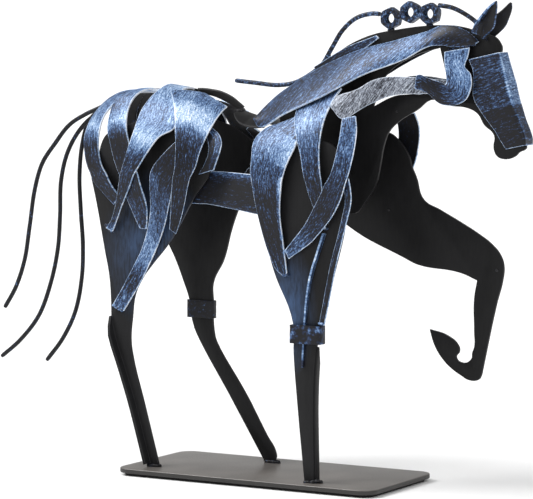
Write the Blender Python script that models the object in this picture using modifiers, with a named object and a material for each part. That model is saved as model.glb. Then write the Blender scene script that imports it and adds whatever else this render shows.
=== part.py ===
"""A welded sheet-metal horse on a flat base plate.

Metres, +Z up.  The origin is at the centre of the underside of the base, the horse
faces +X and its own right side, the side seen from -Y, is called the near side.
"""
from math import acos, cos, pi, sin

import bmesh
import bpy
from mathutils import Matrix, Vector

# Driving dimensions, metres
BASE_LENGTH = 0.150
BASE_WIDTH = 0.070
BASE_THICKNESS = 0.0025
BASE_CORNER = 0.008
PAD_THICKNESS = 0.0012
PAD_INSET = 0.0025
PAD_CORNER = 0.006
FIGURE_HEIGHT = 0.2398        # top of the base to the tips of the ears
SHEET = 0.0010                # the brushed strips
PLATE = 0.0015                # the flat legs and the neck plate
GAP = 0.0003                  # clearance between welded pieces
LAYER_GAP = 0.0004            # clearance between crossing strips
ROD_DIAMETER = 0.0023         # tail and mane
NUT_FLATS = 0.0096
NUT_BORE = 0.0056
NUT_THICKNESS = 0.0050
CUFF_HEIGHT = 0.0092
FORE_CUFF_DEPTH = 0.0066
HIND_CUFF_DEPTH = 0.0050
CUFF_REACH = 0.0028           # middle of the near fore leg to the inner face of its cuff
CUFF_BEND = 0.0018
HIND_STANCE = 0.0204          # centre plane to the middle of a hind leg plate
FORE_STANCE = 0.0265
FLANGE = 0.0055               # folded edges of the lower hind legs
FORE_FLANGE = 0.0038
FACE_WIDTH = 0.0100

# The figure is drawn in millimetres over the top of the base, 239.8 mm tall.
MM = FIGURE_HEIGHT / 239.8
BASE_TOP = PAD_THICKNESS + GAP + BASE_THICKNESS
LAYER = SHEET + LAYER_GAP
NEAR, FAR = -1, 1


def clear_scene():
    for thing in list(bpy.data.objects):
        bpy.data.objects.remove(thing, do_unlink=True)


def collection(name):
    made = bpy.data.collections.new(name)
    bpy.context.scene.collection.children.link(made)
    return made


def material(name, colour, roughness, metallic):
    made = bpy.data.materials.new(name)
    made.use_nodes = True
    shader = made.node_tree.nodes["Principled BSDF"]
    shader.inputs["Base Color"].default_value = (*colour, 1.0)
    shader.inputs["Roughness"].default_value = roughness
    shader.inputs["Metallic"].default_value = metallic
    return made


clear_scene()
PARTS = collection("metal_horse_statue")
CUTTERS = collection("cutters")
BLUE = material("brushed_blue", (0.055, 0.11, 0.24), 0.45, 0.6)
BLACK = material("satin_black", (0.012, 0.012, 0.014), 0.5, 0.4)
GREY = material("base_black", (0.03, 0.03, 0.033), 0.55, 0.3)
RUBBER = material("pad_rubber", (0.01, 0.01, 0.01), 0.9, 0.0)


def place(name, mesh, look, group=None):
    made = bpy.data.objects.new(name, mesh)
    (group or PARTS).objects.link(made)
    if look:
        mesh.materials.clear()
        mesh.materials.append(look)
    return made


def from_bmesh(name, form, look, group=None):
    bmesh.ops.recalc_face_normals(form, faces=form.faces)
    mesh = bpy.data.meshes.new(name)
    form.to_mesh(mesh)
    form.free()
    return place(name, mesh, look, group)


def modify(thing, kind, **settings):
    made = thing.modifiers.new(kind.title(), kind)
    for key, value in settings.items():
        setattr(made, key, value)
    return made


def at(x, z, y=0.0):
    """A drawn point, in millimetres over the base, as a place in metres."""
    return Vector((x * MM, y * MM, BASE_TOP + z * MM))


def spline(points, t):
    """Catmull-Rom through the points, t from 0 to 1 along their chords."""
    chords = [0.0]
    for a, b in zip(points, points[1:]):
        chords.append(chords[-1] + max(1e-9, (Vector(b) - Vector(a)).length))
    goal = t * chords[-1]
    i = 0
    while i < len(points) - 2 and chords[i + 1] < goal:
        i += 1
    u = (goal - chords[i]) / (chords[i + 1] - chords[i])
    b, c = Vector(points[i]), Vector(points[i + 1])
    before = b - Vector(points[i - 1]) if i else c - b
    after = Vector(points[i + 2]) - c if i + 2 < len(points) else c - b
    span = (c - b).length
    head = (before.normalized() + (c - b).normalized()) * 0.5 * span
    tail = ((c - b).normalized() + after.normalized()) * 0.5 * span
    return ((2 * u**3 - 3 * u**2 + 1) * b + (u**3 - 2 * u**2 + u) * head
            + (3 * u**2 - 2 * u**3) * c + (u**3 - u**2) * tail)


def profile(x, knots):
    """Smooth height over x through (x, height) knots, held level past both ends."""
    x = min(max(x, knots[0][0]), knots[-1][0])
    i = 0
    while i < len(knots) - 2 and knots[i + 1][0] < x:
        i += 1
    (x0, y0), (x1, y1) = knots[i], knots[i + 1]
    back, on = knots[max(i - 1, 0)], knots[min(i + 2, len(knots) - 1)]
    span = x1 - x0
    head = (y1 - back[1]) / (x1 - back[0]) * span
    tail = (on[1] - y0) / (on[0] - x0) * span
    u = (x - x0) / span
    return ((2 * u**3 - 3 * u**2 + 1) * y0 + (u**3 - 2 * u**2 + u) * head
            + (3 * u**2 - 2 * u**3) * y1 + (u**3 - u**2) * tail)


class Body:
    """A rounded half barrel that strips lie on, in drawn millimetres.

    ridge gives the height of the back over x, and girth the half width as a share of the
    legs' stance.  middle is the height of the widest line, and below knee the side stands
    upright, where the strips' inner face clears the outer face of the leg plate.
    """

    def __init__(self, ridge, girth, middle, stance, knee):
        self.ridge, self.middle, self.knee = ridge, middle, knee
        self.girth = [(x, share * stance / MM) for x, share in girth]
        self.foot = (stance + PLATE / 2 + GAP) / MM

    def turn(self, x, z):
        """How far round the barrel height z is: 0 on the ridge, 1 at the middle."""
        if z < self.middle:
            return 1 + (self.middle - z) / self.middle
        rise = (z - self.middle) / (profile(x, self.ridge) - self.middle)
        return acos(min(1.0, rise)) * 2 / pi

    def skin(self, x, turn):
        side, turn = (NEAR if turn < 0 else FAR), abs(turn)
        wide = profile(x, self.girth)
        if turn <= 1:
            y = wide * sin(turn * pi / 2)
            z = self.middle + (profile(x, self.ridge) - self.middle) * cos(turn * pi / 2)
        else:
            z = self.middle - (turn - 1) * self.middle
            fall = min(1.0, max(0.0, (self.middle - z) / (self.middle - self.knee)))
            y = wide + (self.foot - wide) * fall * fall * (3 - 2 * fall)
        return Vector((x, side * y, z))

    def point(self, x, turn, lift):
        """The skin moved out along its normal by lift drawn millimetres."""
        along = self.skin(x + 1, turn) - self.skin(x - 1, turn)
        round_it = self.skin(x, turn + 0.02) - self.skin(x, turn - 0.02)
        out = along.cross(round_it).normalized()
        here = self.skin(x, turn)
        if out.dot(Vector((0, here.y, max(0.0, here.z - self.middle)))) < 0:
            out = -out
        return here + out * lift


RUMP = Body(
    ridge=[(-116, 172), (-108, 181), (-100, 189.3), (-92, 193.9), (-84, 196), (-74, 196.1),
    (-65, 195), (-55, 193.7), (-45, 192), (-25, 186.5), (-10, 182)],
    girth=[(-116, 0.735), (-104, 0.98), (-60, 1.42), (-20, 1.373), (0, 1.324)],
    middle=151, stance=HIND_STANCE, knee=108)
SHOULDER = Body(
    ridge=[(-10, 180), (0, 183), (14, 187), (38, 195.5), (60, 205), (80, 211)],
    girth=[(-5, 1.019), (5, 1.113), (25, 1.17), (60, 1.17), (75, 1.094)],
    middle=150, stance=FORE_STANCE, knee=95)
SPREAD = FORE_STANCE / (26.5 * MM)    # widths drawn for a fore stance of 26.5


def sheet(name, rows, look=BLUE):
    """A sheet of even thickness through a net of points, rows of equal length."""
    form = bmesh.new()
    tall, wide = len(rows), len(rows[0])
    bmesh.ops.create_grid(form, x_segments=wide - 1, y_segments=tall - 1, size=1.0)
    form.verts.ensure_lookup_table()
    for vert in form.verts:
        column = round((vert.co.x + 1) / 2 * (wide - 1))
        row = round((vert.co.y + 1) / 2 * (tall - 1))
        vert.co = rows[row][column]
    made = from_bmesh(name, form, look)
    modify(made, "SOLIDIFY", thickness=SHEET, offset=0.0, use_even_offset=True)
    made.data.shade_smooth()
    modify(made, "WEIGHTED_NORMAL")
    return made


def strip(name, body, lines, side=NEAR, long=13, across=2, over=False):
    """A strip laid on a body between drawn edge lines.

    Each line is (first layer, last layer, [(x, z), ...]) in side view.  With over the
    strip starts on one side, crosses the ridge and runs down the other side.
    """
    rows = []
    count = long * 2 if over else long
    for i in range(count + 1):
        u = i / count
        v = abs(2 * u - 1) if over else u
        way = (FAR if u > 0.5 else NEAR) if over else side
        ends = []
        for first, last, points in lines:
            turned = [Vector((x, body.turn(x, z) * 60, 0)) for x, z in points]
            if over:
                turned.insert(0, Vector((points[0][0], 0, 0)))
            here = spline(turned, v)
            ends.append((here.x, here.y / 60, first + (last - first) * v))
        row = []
        for j in range(across + 1):
            w = j / across * (len(ends) - 1)
            k = min(int(w), len(ends) - 2)
            x, turn, layer = (a + (b - a) * (w - k) for a, b in zip(ends[k], ends[k + 1]))
            lift = (SHEET / 2 + layer * LAYER) / MM
            spot = body.point(x, way * max(turn, 1e-4), lift)
            row.append(at(spot.x, spot.z, spot.y))
        rows.append(row)
    return sheet(name, rows)


NECK_SIDE = (PLATE + 2 * GAP) / MM


def ribbon(name, lines, side=NEAR, long=12, across=2, bow=0.0, spread=SPREAD, look=BLUE):
    """A free sheet between drawn lines of (x, z, distance from the centre plane).

    Distances past NECK_SIDE, beside the neck plate, follow the stance of the fore legs.
    """
    rows = []
    for i in range(long + 1):
        ends = [spline([Vector((x, y, z)) for x, z, y in line], i / long) for line in lines]
        row = []
        for j in range(across + 1):
            w = j / across * (len(ends) - 1)
            k = min(int(w), len(ends) - 2)
            spot = ends[k].lerp(ends[k + 1], w - k)
            swell = bow * 4 * (j / across) * (1 - j / across)
            out = NECK_SIDE + (spot.y - NECK_SIDE) * spread + swell
            row.append(at(spot.x, spot.z, side * out))
        rows.append(row)
    return sheet(name, rows, look)


def outline_curve(name, outlines, thickness):
    """A flat outline in side view; a point with a third value is a sharp corner."""
    data = bpy.data.curves.new(name, "CURVE")
    data.dimensions = "2D"
    data.fill_mode = "BOTH"
    data.extrude = thickness / 2
    data.resolution_u = 2
    for outline in outlines:
        line = data.splines.new("BEZIER")
        line.use_cyclic_u = True
        line.bezier_points.add(len(outline) - 1)
        for knot, drawn in zip(line.bezier_points, outline):
            knot.co = (drawn[0] * MM, drawn[1] * MM, 0)
            kind = "VECTOR" if len(drawn) > 2 else "AUTO"
            knot.handle_left_type = knot.handle_right_type = kind
    made = bpy.data.objects.new(name, data)
    PARTS.objects.link(made)
    return made


def curve_to_mesh(curve, name, look):
    bpy.context.view_layer.update()
    seen = curve.evaluated_get(bpy.context.evaluated_depsgraph_get())
    mesh = bpy.data.meshes.new_from_object(seen)
    form = bmesh.new()
    form.from_mesh(mesh)
    bmesh.ops.remove_doubles(form, verts=form.verts, dist=1e-6)
    bmesh.ops.transform(form, matrix=curve.matrix_world, verts=form.verts)
    data = curve.data
    bpy.data.objects.remove(curve, do_unlink=True)
    bpy.data.curves.remove(data)
    return from_bmesh(name, form, look)


def plate(name, middle, outlines, look=BLACK):
    """A flat plate standing in the plane y = middle metres."""
    curve = outline_curve(name + "_outline", outlines, PLATE)
    curve.matrix_world = Matrix.Translation((0, middle, BASE_TOP)) @ Matrix.Rotation(pi / 2, 4, "X")
    return curve_to_mesh(curve, name, look)


def fold(leg, line, middle, reach):
    """Fold an edge of a leg plate: a flange along line, reach metres out of its plane."""
    form = bmesh.new()
    count = 6
    bmesh.ops.create_grid(form, x_segments=1, y_segments=count, size=1.0)
    for vert in form.verts:
        spot = spline([Vector((x, 0, z)) for x, z in line], (vert.co.y + 1) / 2)
        share = (vert.co.y + 1) / 2
        away = reach * min(1.0, 0.35 + 5 * share) if vert.co.x > 0 else 0.0
        vert.co = at(spot.x, spot.z) + Vector((0, middle + away, 0))
    flange = from_bmesh(leg.name + "_flange", form, None, CUTTERS)
    modify(flange, "SOLIDIFY", thickness=PLATE, offset=0.0)
    flange.hide_render = True
    flange.display_type = "WIRE"
    modify(leg, "BOOLEAN", object=flange, operation="UNION", solver="EXACT")


def rod(name, points, offset, look=BLACK, step=0.008):
    """A round bar bent through drawn (x, z) points at y = offset."""
    line = [Vector((x, 0, z)) for x, z in points]
    length = sum((b - a).length for a, b in zip(line, line[1:])) * MM
    count = max(8, round(length / step))
    data = bpy.data.curves.new(name, "CURVE")
    data.dimensions = "3D"
    data.bevel_depth = ROD_DIAMETER / 2
    data.bevel_resolution = 2
    data.use_fill_caps = True
    path = data.splines.new("POLY")
    path.points.add(count)
    for i, knot in enumerate(path.points):
        spot = spline(line, i / count)
        knot.co = (*(at(spot.x, spot.z) + Vector((0, offset, 0))), 1)
    made = bpy.data.objects.new(name, data)
    PARTS.objects.link(made)
    data.materials.append(look)
    return made


def slab(name, length, width, thickness, corner, underside, look):
    """A flat rectangle with rounded corners."""
    form = bmesh.new()
    bmesh.ops.create_cube(form, size=1.0)
    bmesh.ops.scale(form, vec=(length, width, thickness), verts=form.verts)
    upright = [e for e in form.edges
               if abs(e.verts[0].co.z - e.verts[1].co.z) > thickness / 2]
    bmesh.ops.bevel(form, geom=upright, offset=corner, segments=6, profile=0.5,
                    affect="EDGES")
    bmesh.ops.translate(form, vec=(0, 0, underside + thickness / 2), verts=form.verts)
    return from_bmesh(name, form, look)


def cuff(name, left, right, foot, inner, depth):
    """A strip bent round a leg into a rectangular band, drawn left and right in mm."""
    form = bmesh.new()
    bmesh.ops.create_cube(form, size=1.0)
    caps = [f for f in form.faces if abs(f.normal.z) > 0.5]
    bmesh.ops.delete(form, geom=caps, context="FACES_ONLY")
    long = (right - left) * MM
    bmesh.ops.scale(form, vec=(long, depth, CUFF_HEIGHT), verts=form.verts)
    upright = [e for e in form.edges if len(e.link_faces) == 2]
    bmesh.ops.bevel(form, geom=upright, offset=CUFF_BEND, segments=2, profile=0.5,
                    affect="EDGES")
    centre = at((left + right) / 2, foot) + Vector((0, inner, CUFF_HEIGHT / 2))
    bmesh.ops.translate(form, vec=centre, verts=form.verts)
    made = from_bmesh(name, form, BLUE)
    modify(made, "SOLIDIFY", thickness=SHEET, offset=-1.0)
    return made


def nut(name, centre, turned):
    """A hexagon nut standing on edge, its bore along Y."""
    form = bmesh.new()
    across = NUT_FLATS / 2 / cos(pi / 6)
    bmesh.ops.create_cone(form, cap_ends=True, segments=6, radius1=across, radius2=across,
                          depth=NUT_THICKNESS)
    stand = (Matrix.Translation(centre) @ Matrix.Rotation(turned, 4, "Y")
             @ Matrix.Rotation(pi / 2, 4, "X"))
    bmesh.ops.transform(form, matrix=stand, verts=form.verts)
    made = from_bmesh(name, form, BLUE)
    bore = bmesh.new()
    bmesh.ops.create_cone(bore, cap_ends=True, segments=24, radius1=NUT_BORE / 2,
                          radius2=NUT_BORE / 2, depth=NUT_THICKNESS * 2)
    bmesh.ops.transform(bore, matrix=stand, verts=bore.verts)
    cutter = from_bmesh(name + "_bore", bore, None, CUTTERS)
    cutter.hide_render = True
    cutter.display_type = "WIRE"
    modify(made, "BOOLEAN", object=cutter, operation="DIFFERENCE", solver="EXACT")
    return made


# Base
slab("base_pad", BASE_LENGTH - 2 * PAD_INSET, BASE_WIDTH - 2 * PAD_INSET, PAD_THICKNESS,
     PAD_CORNER, 0.0, RUBBER)
slab("base_plate", BASE_LENGTH, BASE_WIDTH, BASE_THICKNESS, BASE_CORNER,
     PAD_THICKNESS + GAP, GREY)

# Legs: flat plates with folded edges, standing one gap over the base
FOOT = GAP / MM
near_hind = plate("near_hind_leg", -HIND_STANCE, [[
    (-62, FOOT, 1), (-56.5, FOOT, 1), (-65.2, 31), (-72.8, 58), (-73.7, 65), (-72.7, 77),
    (-70.8, 89), (-66, 98), (-61.6, 103.5), (-50, 116.6), (-43, 127), (-36.7, 137.4),
    (-26.5, 150.4, 1), (-24.5, 160), (-25.5, 166), (-31, 171.5), (-40, 176.2), (-50, 178.6),
    (-60, 179.6), (-70, 178.3), (-80, 174), (-85.5, 172.8), (-89, 170.4), (-91.3, 166.4), (-93.6, 158), (-97.6, 148.4, 1),
    (-94.5, 136), (-89.4, 111), (-86.7, 98), (-85.7, 85), (-85.6, 78.5), (-85.4, 73),
    (-83.6, 65.8), (-77.9, 50.4),
    (-71.8, 33)]])
fold(near_hind, [(-85.5, 77), (-85.4, 73), (-83.6, 65.8), (-77.9, 50.4), (-71.8, 33), (-62.4, 1.4)], -HIND_STANCE, -FLANGE)
far_hind = plate("far_hind_leg", HIND_STANCE, [[
    (-17, FOOT, 1), (-12.3, FOOT, 1), (-10.3, 2.4), (-10.8, 6.4), (-15.9, 14.2), (-21.2, 23.1), (-27.4, 33.5), (-46.1, 61), (-47.6, 65),
    (-48.5, 83.5), (-48.5, 92.5), (-42, 105), (-36.9, 122), (-32.6, 133, 1), (-26, 148),
    (-24.3, 158), (-23.4, 164.5), (-25.6, 168.6), (-30.5, 172.2), (-40, 176.4), (-50, 178.6),
    (-60, 179.6),
    (-70, 178.3), (-80, 174), (-87, 168.5), (-91.5, 161), (-94, 149), (-91, 138), (-84.3, 126), (-76.2, 112.5), (-71.4, 103.7), (-66.9, 93.3), (-63, 83), (-61.3, 72.3), (-58.7, 66), (-37.4, 33)]])
fold(far_hind, [(-60.1, 69), (-58.7, 66), (-37.4, 33), (-17.3, 1.4)], HIND_STANCE, FLANGE)
near_fore = plate("near_fore_leg", -FORE_STANCE, [[
    (33.3, FOOT, 1), (38.8, FOOT, 1), (38.4, 20), (38.2, 40), (38.8, 56), (40.1, 69), (43.5, 82),
    (50, 106), (56, 130), (57.5, 148),
    (56, 160), (51, 167.5), (43, 171), (33, 170.5), (23, 167), (14.5, 161), (10.5, 150),
    (9.6, 140), (10.4, 124), (15.4, 106), (26.6, 80), (27, 65), (29.1, 40)]])
fold(near_fore, [(40, 68.4), (38.8, 56), (38.2, 40), (38.4, 20), (38.8, FOOT)], -FORE_STANCE,
     FORE_FLANGE)
plate("far_fore_leg", FORE_STANCE, [[
    (64.2, 161), (65.2, 157.3), (68, 151), (72, 140.2), (81.3, 135.3), (93, 129.4), (103.7,
     123.5), (110.4, 119), (115.2, 113.8), (117.2, 108.4), (116.8, 102), (113.2, 88.6), (105.3, 53, 1), (103.8, 50.5), 
      (98.4, 49.8), (94, 51.8), (89.1, 54.7), (84, 59), (78.9, 66.2), (76, 74.4, 1), (86, 71.8), (92.2, 67), (92.8, 64),
    (91.1, 61), (94.5, 58.5), (99.5, 60.7), (100, 63.8), (101.1, 67), (101, 75), (100.9, 91.3),
     (102.5, 100.4, 1), (93, 103.8), (69, 106.9), (61.4, 110), (28.4, 125.4),
    (14, 138), (11, 150), (15, 161), (26, 168), (37, 171.2), (45, 173.2), (52.4, 173.4), (57, 170.6), (61.3, 166.2)]])

# Neck, head and breast: one flat silhouette with the window under the crest
plate("head_neck_plate", 0.0, [
    [(33, 210.5), (40, 216), (50.5, 221.2), (60, 224.1), (69.2, 225.6), (78, 226.9), (86, 227.7), 
     (94, 228.1), (104, 227.6), (111, 226.2), (117, 223.9), (120.4, 223.7), (122.6, 223.1), (124.6, 222.3), (126.8,
    220), (128.1, 217), (127, 212.4, 1), (129.4, 204), (134, 188), (137, 178, 1),
    (139.8, 171.4, 1), (141.5, 169.2), (140.6, 167.9), (137.9, 166.7), (135.7, 164.7),
    (132.5, 163.3), (129.3, 163.1), (126.1, 164.2), (124.2, 167.2), (123.9, 169.8),
    (124.4, 173.3), (123.6, 175.5), (118.8, 179.5), (115.3, 184.8), (109.5, 187.6), (100, 188.6), (90, 191.3), (82, 186.2),
     (72.6, 180.8), (66.5, 175.3), (63.7, 169), (61.5, 158.5), (59.6, 150.2), (54.2, 141.2),
     (45.5, 133.5), (37, 140), (27, 153), (16, 167), (4, 176, 1), (4, 187.5, 1),
     (20, 200)],
    [(64, 202.5), (80, 212.8), (94.6, 217, 1), (98.5, 201.7, 1), (86, 194.4), (76.4, 193.8),
     (69.7, 193), (57.4, 187.5, 1)]])

# Croup and shoulders: strips on both sides, layer 0 next to the plates.  Some end lower
# on the near side, where both legs stand, than on the far side, where the fore leg is raised.
SECOND = {
    NEAR: [(-76, 193.9), (-86.3, 188.6), (-87.5, 180.4), (-86.8, 174), (-83.8, 167.3),
           (-75.8, 151), (-71, 138), (-65.7, 123.8)],
    FAR: [(-76, 193.9), (-90.5, 189.2), (-94, 181), (-92.5, 173.6), (-88, 165), (-79, 151),
          (-73, 138), (-66.5, 123.8)]}
FRONT_RUMP = {
    NEAR: ([(-54.5, 190.8), (-47, 183.5)], [(-38.5, 189.8), (-35.5, 180.5)],
           [(-22.9, 184.4), (-24, 175.3)]),
    FAR: ([(-52, 187.4), (-46.5, 181.8)], [(-37.5, 185.4), (-35.2, 178.5)],
          [(-24.8, 181.6), (-24.9, 175)])}
LONG_STRIP = {
    NEAR: ([(-54.6, 153.4), (-56.3, 136), (-63.2, 117.6), (-75.7, 95.4), (-83.8, 83)],
           [(-41, 149.6), (-47.4, 131), (-56.6, 113), (-66.3, 96), (-77, 80)]),
    FAR: ([(-54.6, 153.4), (-57, 136), (-58.5, 120), (-59, 105), (-59, 90)],
          [(-41, 149.6), (-46, 131), (-49, 118), (-51, 104), (-52.5, 90)])}
REAR_SHOULDER = {
    NEAR: ([(4.4, 150.8), (7.5, 135.5), (12.3, 118.5), (16.8, 107.6), (21.5, 103.3)],
           [(24.5, 157.4), (22.1, 146.4), (21.2, 134), (22.3, 121.4), (24, 104.3)]),
    FAR: ([(6, 152), (12, 143), (18, 137.5)], [(25.5, 159), (23, 150), (21.5, 139)])}
CROSS_SHOULDER = {
    NEAR: ([(51.5, 154.7), (39.1, 133.5), (24.8, 116.9)],
           [(63.5, 165.8), (58.2, 145.5), (42.6, 123.9), (26.6, 112.4)]),
    FAR: ([(51.5, 157), (44, 144), (35, 133)], [(65.4, 164.5), (59, 150), (50, 138), (38, 129.5)])}
FRONT_SHOULDER = {
    NEAR: ([(60.4, 153.2), (61.7, 142.7), (58.5, 130.3), (51.5, 107.8), (45.2, 80.2)],
           [(57.4, 152.4), (58.4, 142.7), (55.4, 130.2), (48.2, 107.7), (42.2, 80.2)]),
    FAR: ([(60.4, 150), (68, 140), (80, 132), (93, 123), (104, 114)],
          [(58, 146), (66, 136.5), (78, 128.5), (91, 120), (101.5, 111)])}

for side, word in ((NEAR, "near"), (FAR, "far")):
    strip(word + "_rump_strip_rear", RUMP, [
        (-1.4, 0, [(-66, 194.4), (-83, 194.8), (-96.8, 189.6), (-103.2, 181.4), (-105, 173.4),
         (-103.8, 165.2), (-97, 150.4), (-88, 141.2), (-81, 135.5)]),
        (-1.4, 0, [(-72, 194.4), (-84.7, 192), (-88.2, 188.4), (-93.1, 180.4), (-93.8, 174),
                (-93, 165.6), (-89.8, 156), (-83.6, 147.3), (-77, 140)])], side, long=14)
    strip(word + "_rump_strip_second", RUMP, [
        (0.2, 0, SECOND[side]),
        (0.2, 0, [(-65, 194.2), (-73.2, 192.8), (-75.8, 185.6), (-74.3, 176), (-70.7, 167.4),
                (-62.7, 149), (-59.4, 135.7), (-61.4, 123.5)])], side)
    rear, middle, front = FRONT_RUMP[side]
    strip(word + "_rump_strip_front", RUMP, [
        (2.5, 2, rear + [(-42.6, 174), (-40.3, 166), (-39.8, 154.5),
                (-42.5, 138.6), (-45.8, 125)]),
        (1.8, 1.5, middle + [(-33.7, 171.5), (-33.4, 162.5), (-34.6, 150),
                  (-38.8, 136), (-44.2, 123.5)]),
        (1, 1, front + [(-27, 163.3), (-29, 155.2), (-33.8, 143.5),
                (-38, 132), (-43.2, 122)])], side, long=11, across=4)
    upper, lower = LONG_STRIP[side]
    strip(word + "_rump_strip_long", RUMP, [
        (1, 0, [(-40.8, 168.6), (-47, 162.8)] + upper),
        (1, 0, [(-37, 164.3), (-39.5, 157)] + lower)], side)
    strip(word + "_flank_rib", RUMP, [
        (-1, -1, [(-25, 176.4), (-20.3, 173.4), (-17.5, 169.4), (-17.2, 164.3), (-19.4, 155)]),
        (-1, -1, [(-28.5, 174.5), (-25.5, 170.2), (-23.5, 164.2), (-25, 158), (-28, 152.5)])],
          side, long=6, across=1)
    upper, lower = REAR_SHOULDER[side]
    strip(word + "_shoulder_strip_rear", SHOULDER, [
        (0, 0, [(26.5, 183), (16.3, 179), (7.3, 176), (2.6, 170.2), (3.3, 162.2)] + upper),
        (0, 0, [(30, 180.5), (29.8, 174.5), (29, 168.8)] + lower)], side, long=12, across=3)
    strip(word + "_shoulder_strip_middle", SHOULDER, [
        (1.3, 0, [(23.5, 185.5), (26.4, 177.6), (33.2, 163), (37, 149.5), (41.7, 136.2),
                (45, 127.8)]),
        (1.3, 0, [(48, 195), (43.8, 181.5), (43.2, 170), (44.5, 156.6), (46.2, 142.3),
                (46.8, 127.9)])], side, long=10, across=3)
    upper, lower = CROSS_SHOULDER[side]
    wider = 3.3 if side == FAR else 0
    strip(word + "_shoulder_strip_cross", SHOULDER, [
        (2, 1.6, [(55.5, 181), (55.3, 172)] + upper),
        (2, 1.6, [(62.5 + wider, 182.5), (64 + wider, 176)] + lower)], side, long=12)
    upper, lower = FRONT_SHOULDER[side]
    strip(word + "_shoulder_strip_front", SHOULDER, [(0, 0, upper), (0, 0, lower)],
          side, long=10, across=1)
strip("croup_strip", RUMP, [
    (1.3, 1, [(-62.5, 192.5), (-64.5, 188), (-65.8, 183.8), (-67.5, 173.6), (-71.3, 158.6),
            (-76, 143.2), (-82, 128.2), (-86.2, 123.2)]),
    (1.3, 1, [(-50.5, 191.9), (-46.5, 186), (-43.8, 174.7), (-51.4, 170), (-57.4, 162),
            (-66.6, 148.3), (-75.4, 133.7), (-82, 121.6)])], over=True, across=3)

# Back and flanks
BACK_TOP = [(-48, 195), (-41.9, 195), (-35.3, 194), (-30.8, 192.6), (-26.6, 190.6),
            (-22.9, 188.1), (-20, 185.9)]
BACK_LOW = [(-48.6, 191.9), (-44.7, 191.9), (-39.9, 190.9), (-35, 189), (-30.8, 187), (-27.2, 185),
            (-24.4, 183.6)]
SADDLE_EDGE = [(-19.2, 183.5), (-13.8, 179.6), (-9.8, 177.9), (-4, 177), (2.2, 177.2)]
saddle = []
for i in range(7):
    edge = spline([Vector((x, 0, z)) for x, z in SADDLE_EDGE], i / 6)
    reach = RUMP.turn(edge.x, edge.z)
    across = [RUMP.point(edge.x, reach * j / 4, (SHEET / 2 - LAYER) / MM) for j in range(-4, 5)]
    saddle.append([at(spot.x, spot.z, spot.y) for spot in across])
sheet("saddle_strip", saddle, BLACK)
ribbon("back_strip", [[(x, z, 4) for x, z in BACK_TOP], [(x, z, 9) for x, z in BACK_LOW]], FAR,
       long=10, across=1, look=BLACK)
LEG_SIDE = (HIND_STANCE - PLATE / 2 - GAP - SHEET) / MM
RIB_SIDE = 28.6 * SPREAD


def flank(share):
    """A distance from the inside of the hind leg, 0, to the inside of the shoulder, 1."""
    return LEG_SIDE + (RIB_SIDE - LEG_SIDE) * share


for side, word in ((NEAR, "near"), (FAR, "far")):
    ribbon(word + "_flank_band", [
        [(-26, 153.8, flank(0)), (-20, 153.9, flank(0.12)), (-8, 153.8, flank(0.6)),
         (6, 153.4, flank(1))],
        [(-38.5, 137, flank(0)), (-29, 137, flank(0.04)), (-13, 135.8, flank(0.53)), (8, 133.4, flank(1))]],
           side, long=8, across=1, spread=1.0)

# Neck: three strips on each side of the plate
THROAT_TOP = {
    NEAR: [(46, 189.5, 22.5), (49, 193, 21.5), (57.5, 196, 19)],
    FAR: [(47.5, 194.4, 20.8), (51, 196.6, 19.6), (57.5, 198.4, 17.5)]}
THROAT_LOW = {
    NEAR: [(46.5, 187.5, 23.5), (54, 181.9, 26), (58, 184, 24), (62, 187.4, 20), (66, 190, 16.5)],
    FAR: [(48.5, 193, 21.4), (53, 192.8, 21.2), (57, 193, 19.6), (62, 193.4, 17.6), (66, 193.6, 15.8)]}
for side, word in ((NEAR, "near"), (FAR, "far")):
    ribbon(word + "_crest_strip", [
        [(-3.3, 181.4, 12.5), (1, 186.4, 11), (8.5, 193.6, 8), (17.5, 199.6, 6), (26, 204.8, 4.6), (50, 214.9, 3.9), (73, 220.7, 3),
         (89, 225, 2.6), (96.5, 227.6, 2.6), (105, 227, 2.6), (111, 224.6, 2.6), (116.5, 220, 2.6)],
        [(-3, 180.3, 14.5), (1.5, 176.7, 17), (17, 183.6, 19.5), (40, 193.5, 19), (58, 203.2, 14), (78.6, 212.6 if side == FAR else 211, 9), (92, 217.6, 8), (98.5, 218.3, 7), (104, 217.5, 6), (115.5, 218.6, 3.6)]],
           side, long=16, across=4, bow=1.0)
    ribbon(word + "_mane_strip", [
        [(24.5, 206.9, 2.1), (43, 216.9, 2.1), (60, 222.9, 2.1)],
        [(27, 204, 2.1), (46, 212, 2.1), (61.5, 221.6, 2.1)]], side, long=7, across=1)
    ribbon(word + "_throat_strip", [
        THROAT_TOP[side] + [(65, 201, 14.5), (72, 202.6, 12), (83, 202.6, 9), (95, 201.5, 5),
                            (101, 201, 3.5)],
        THROAT_LOW[side] + [(74, 193.4, 11.5), (90.5, 194.6, 6.5), (101, 194.5, 3.5)]],
           side, across=3, bow=0.6)

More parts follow.
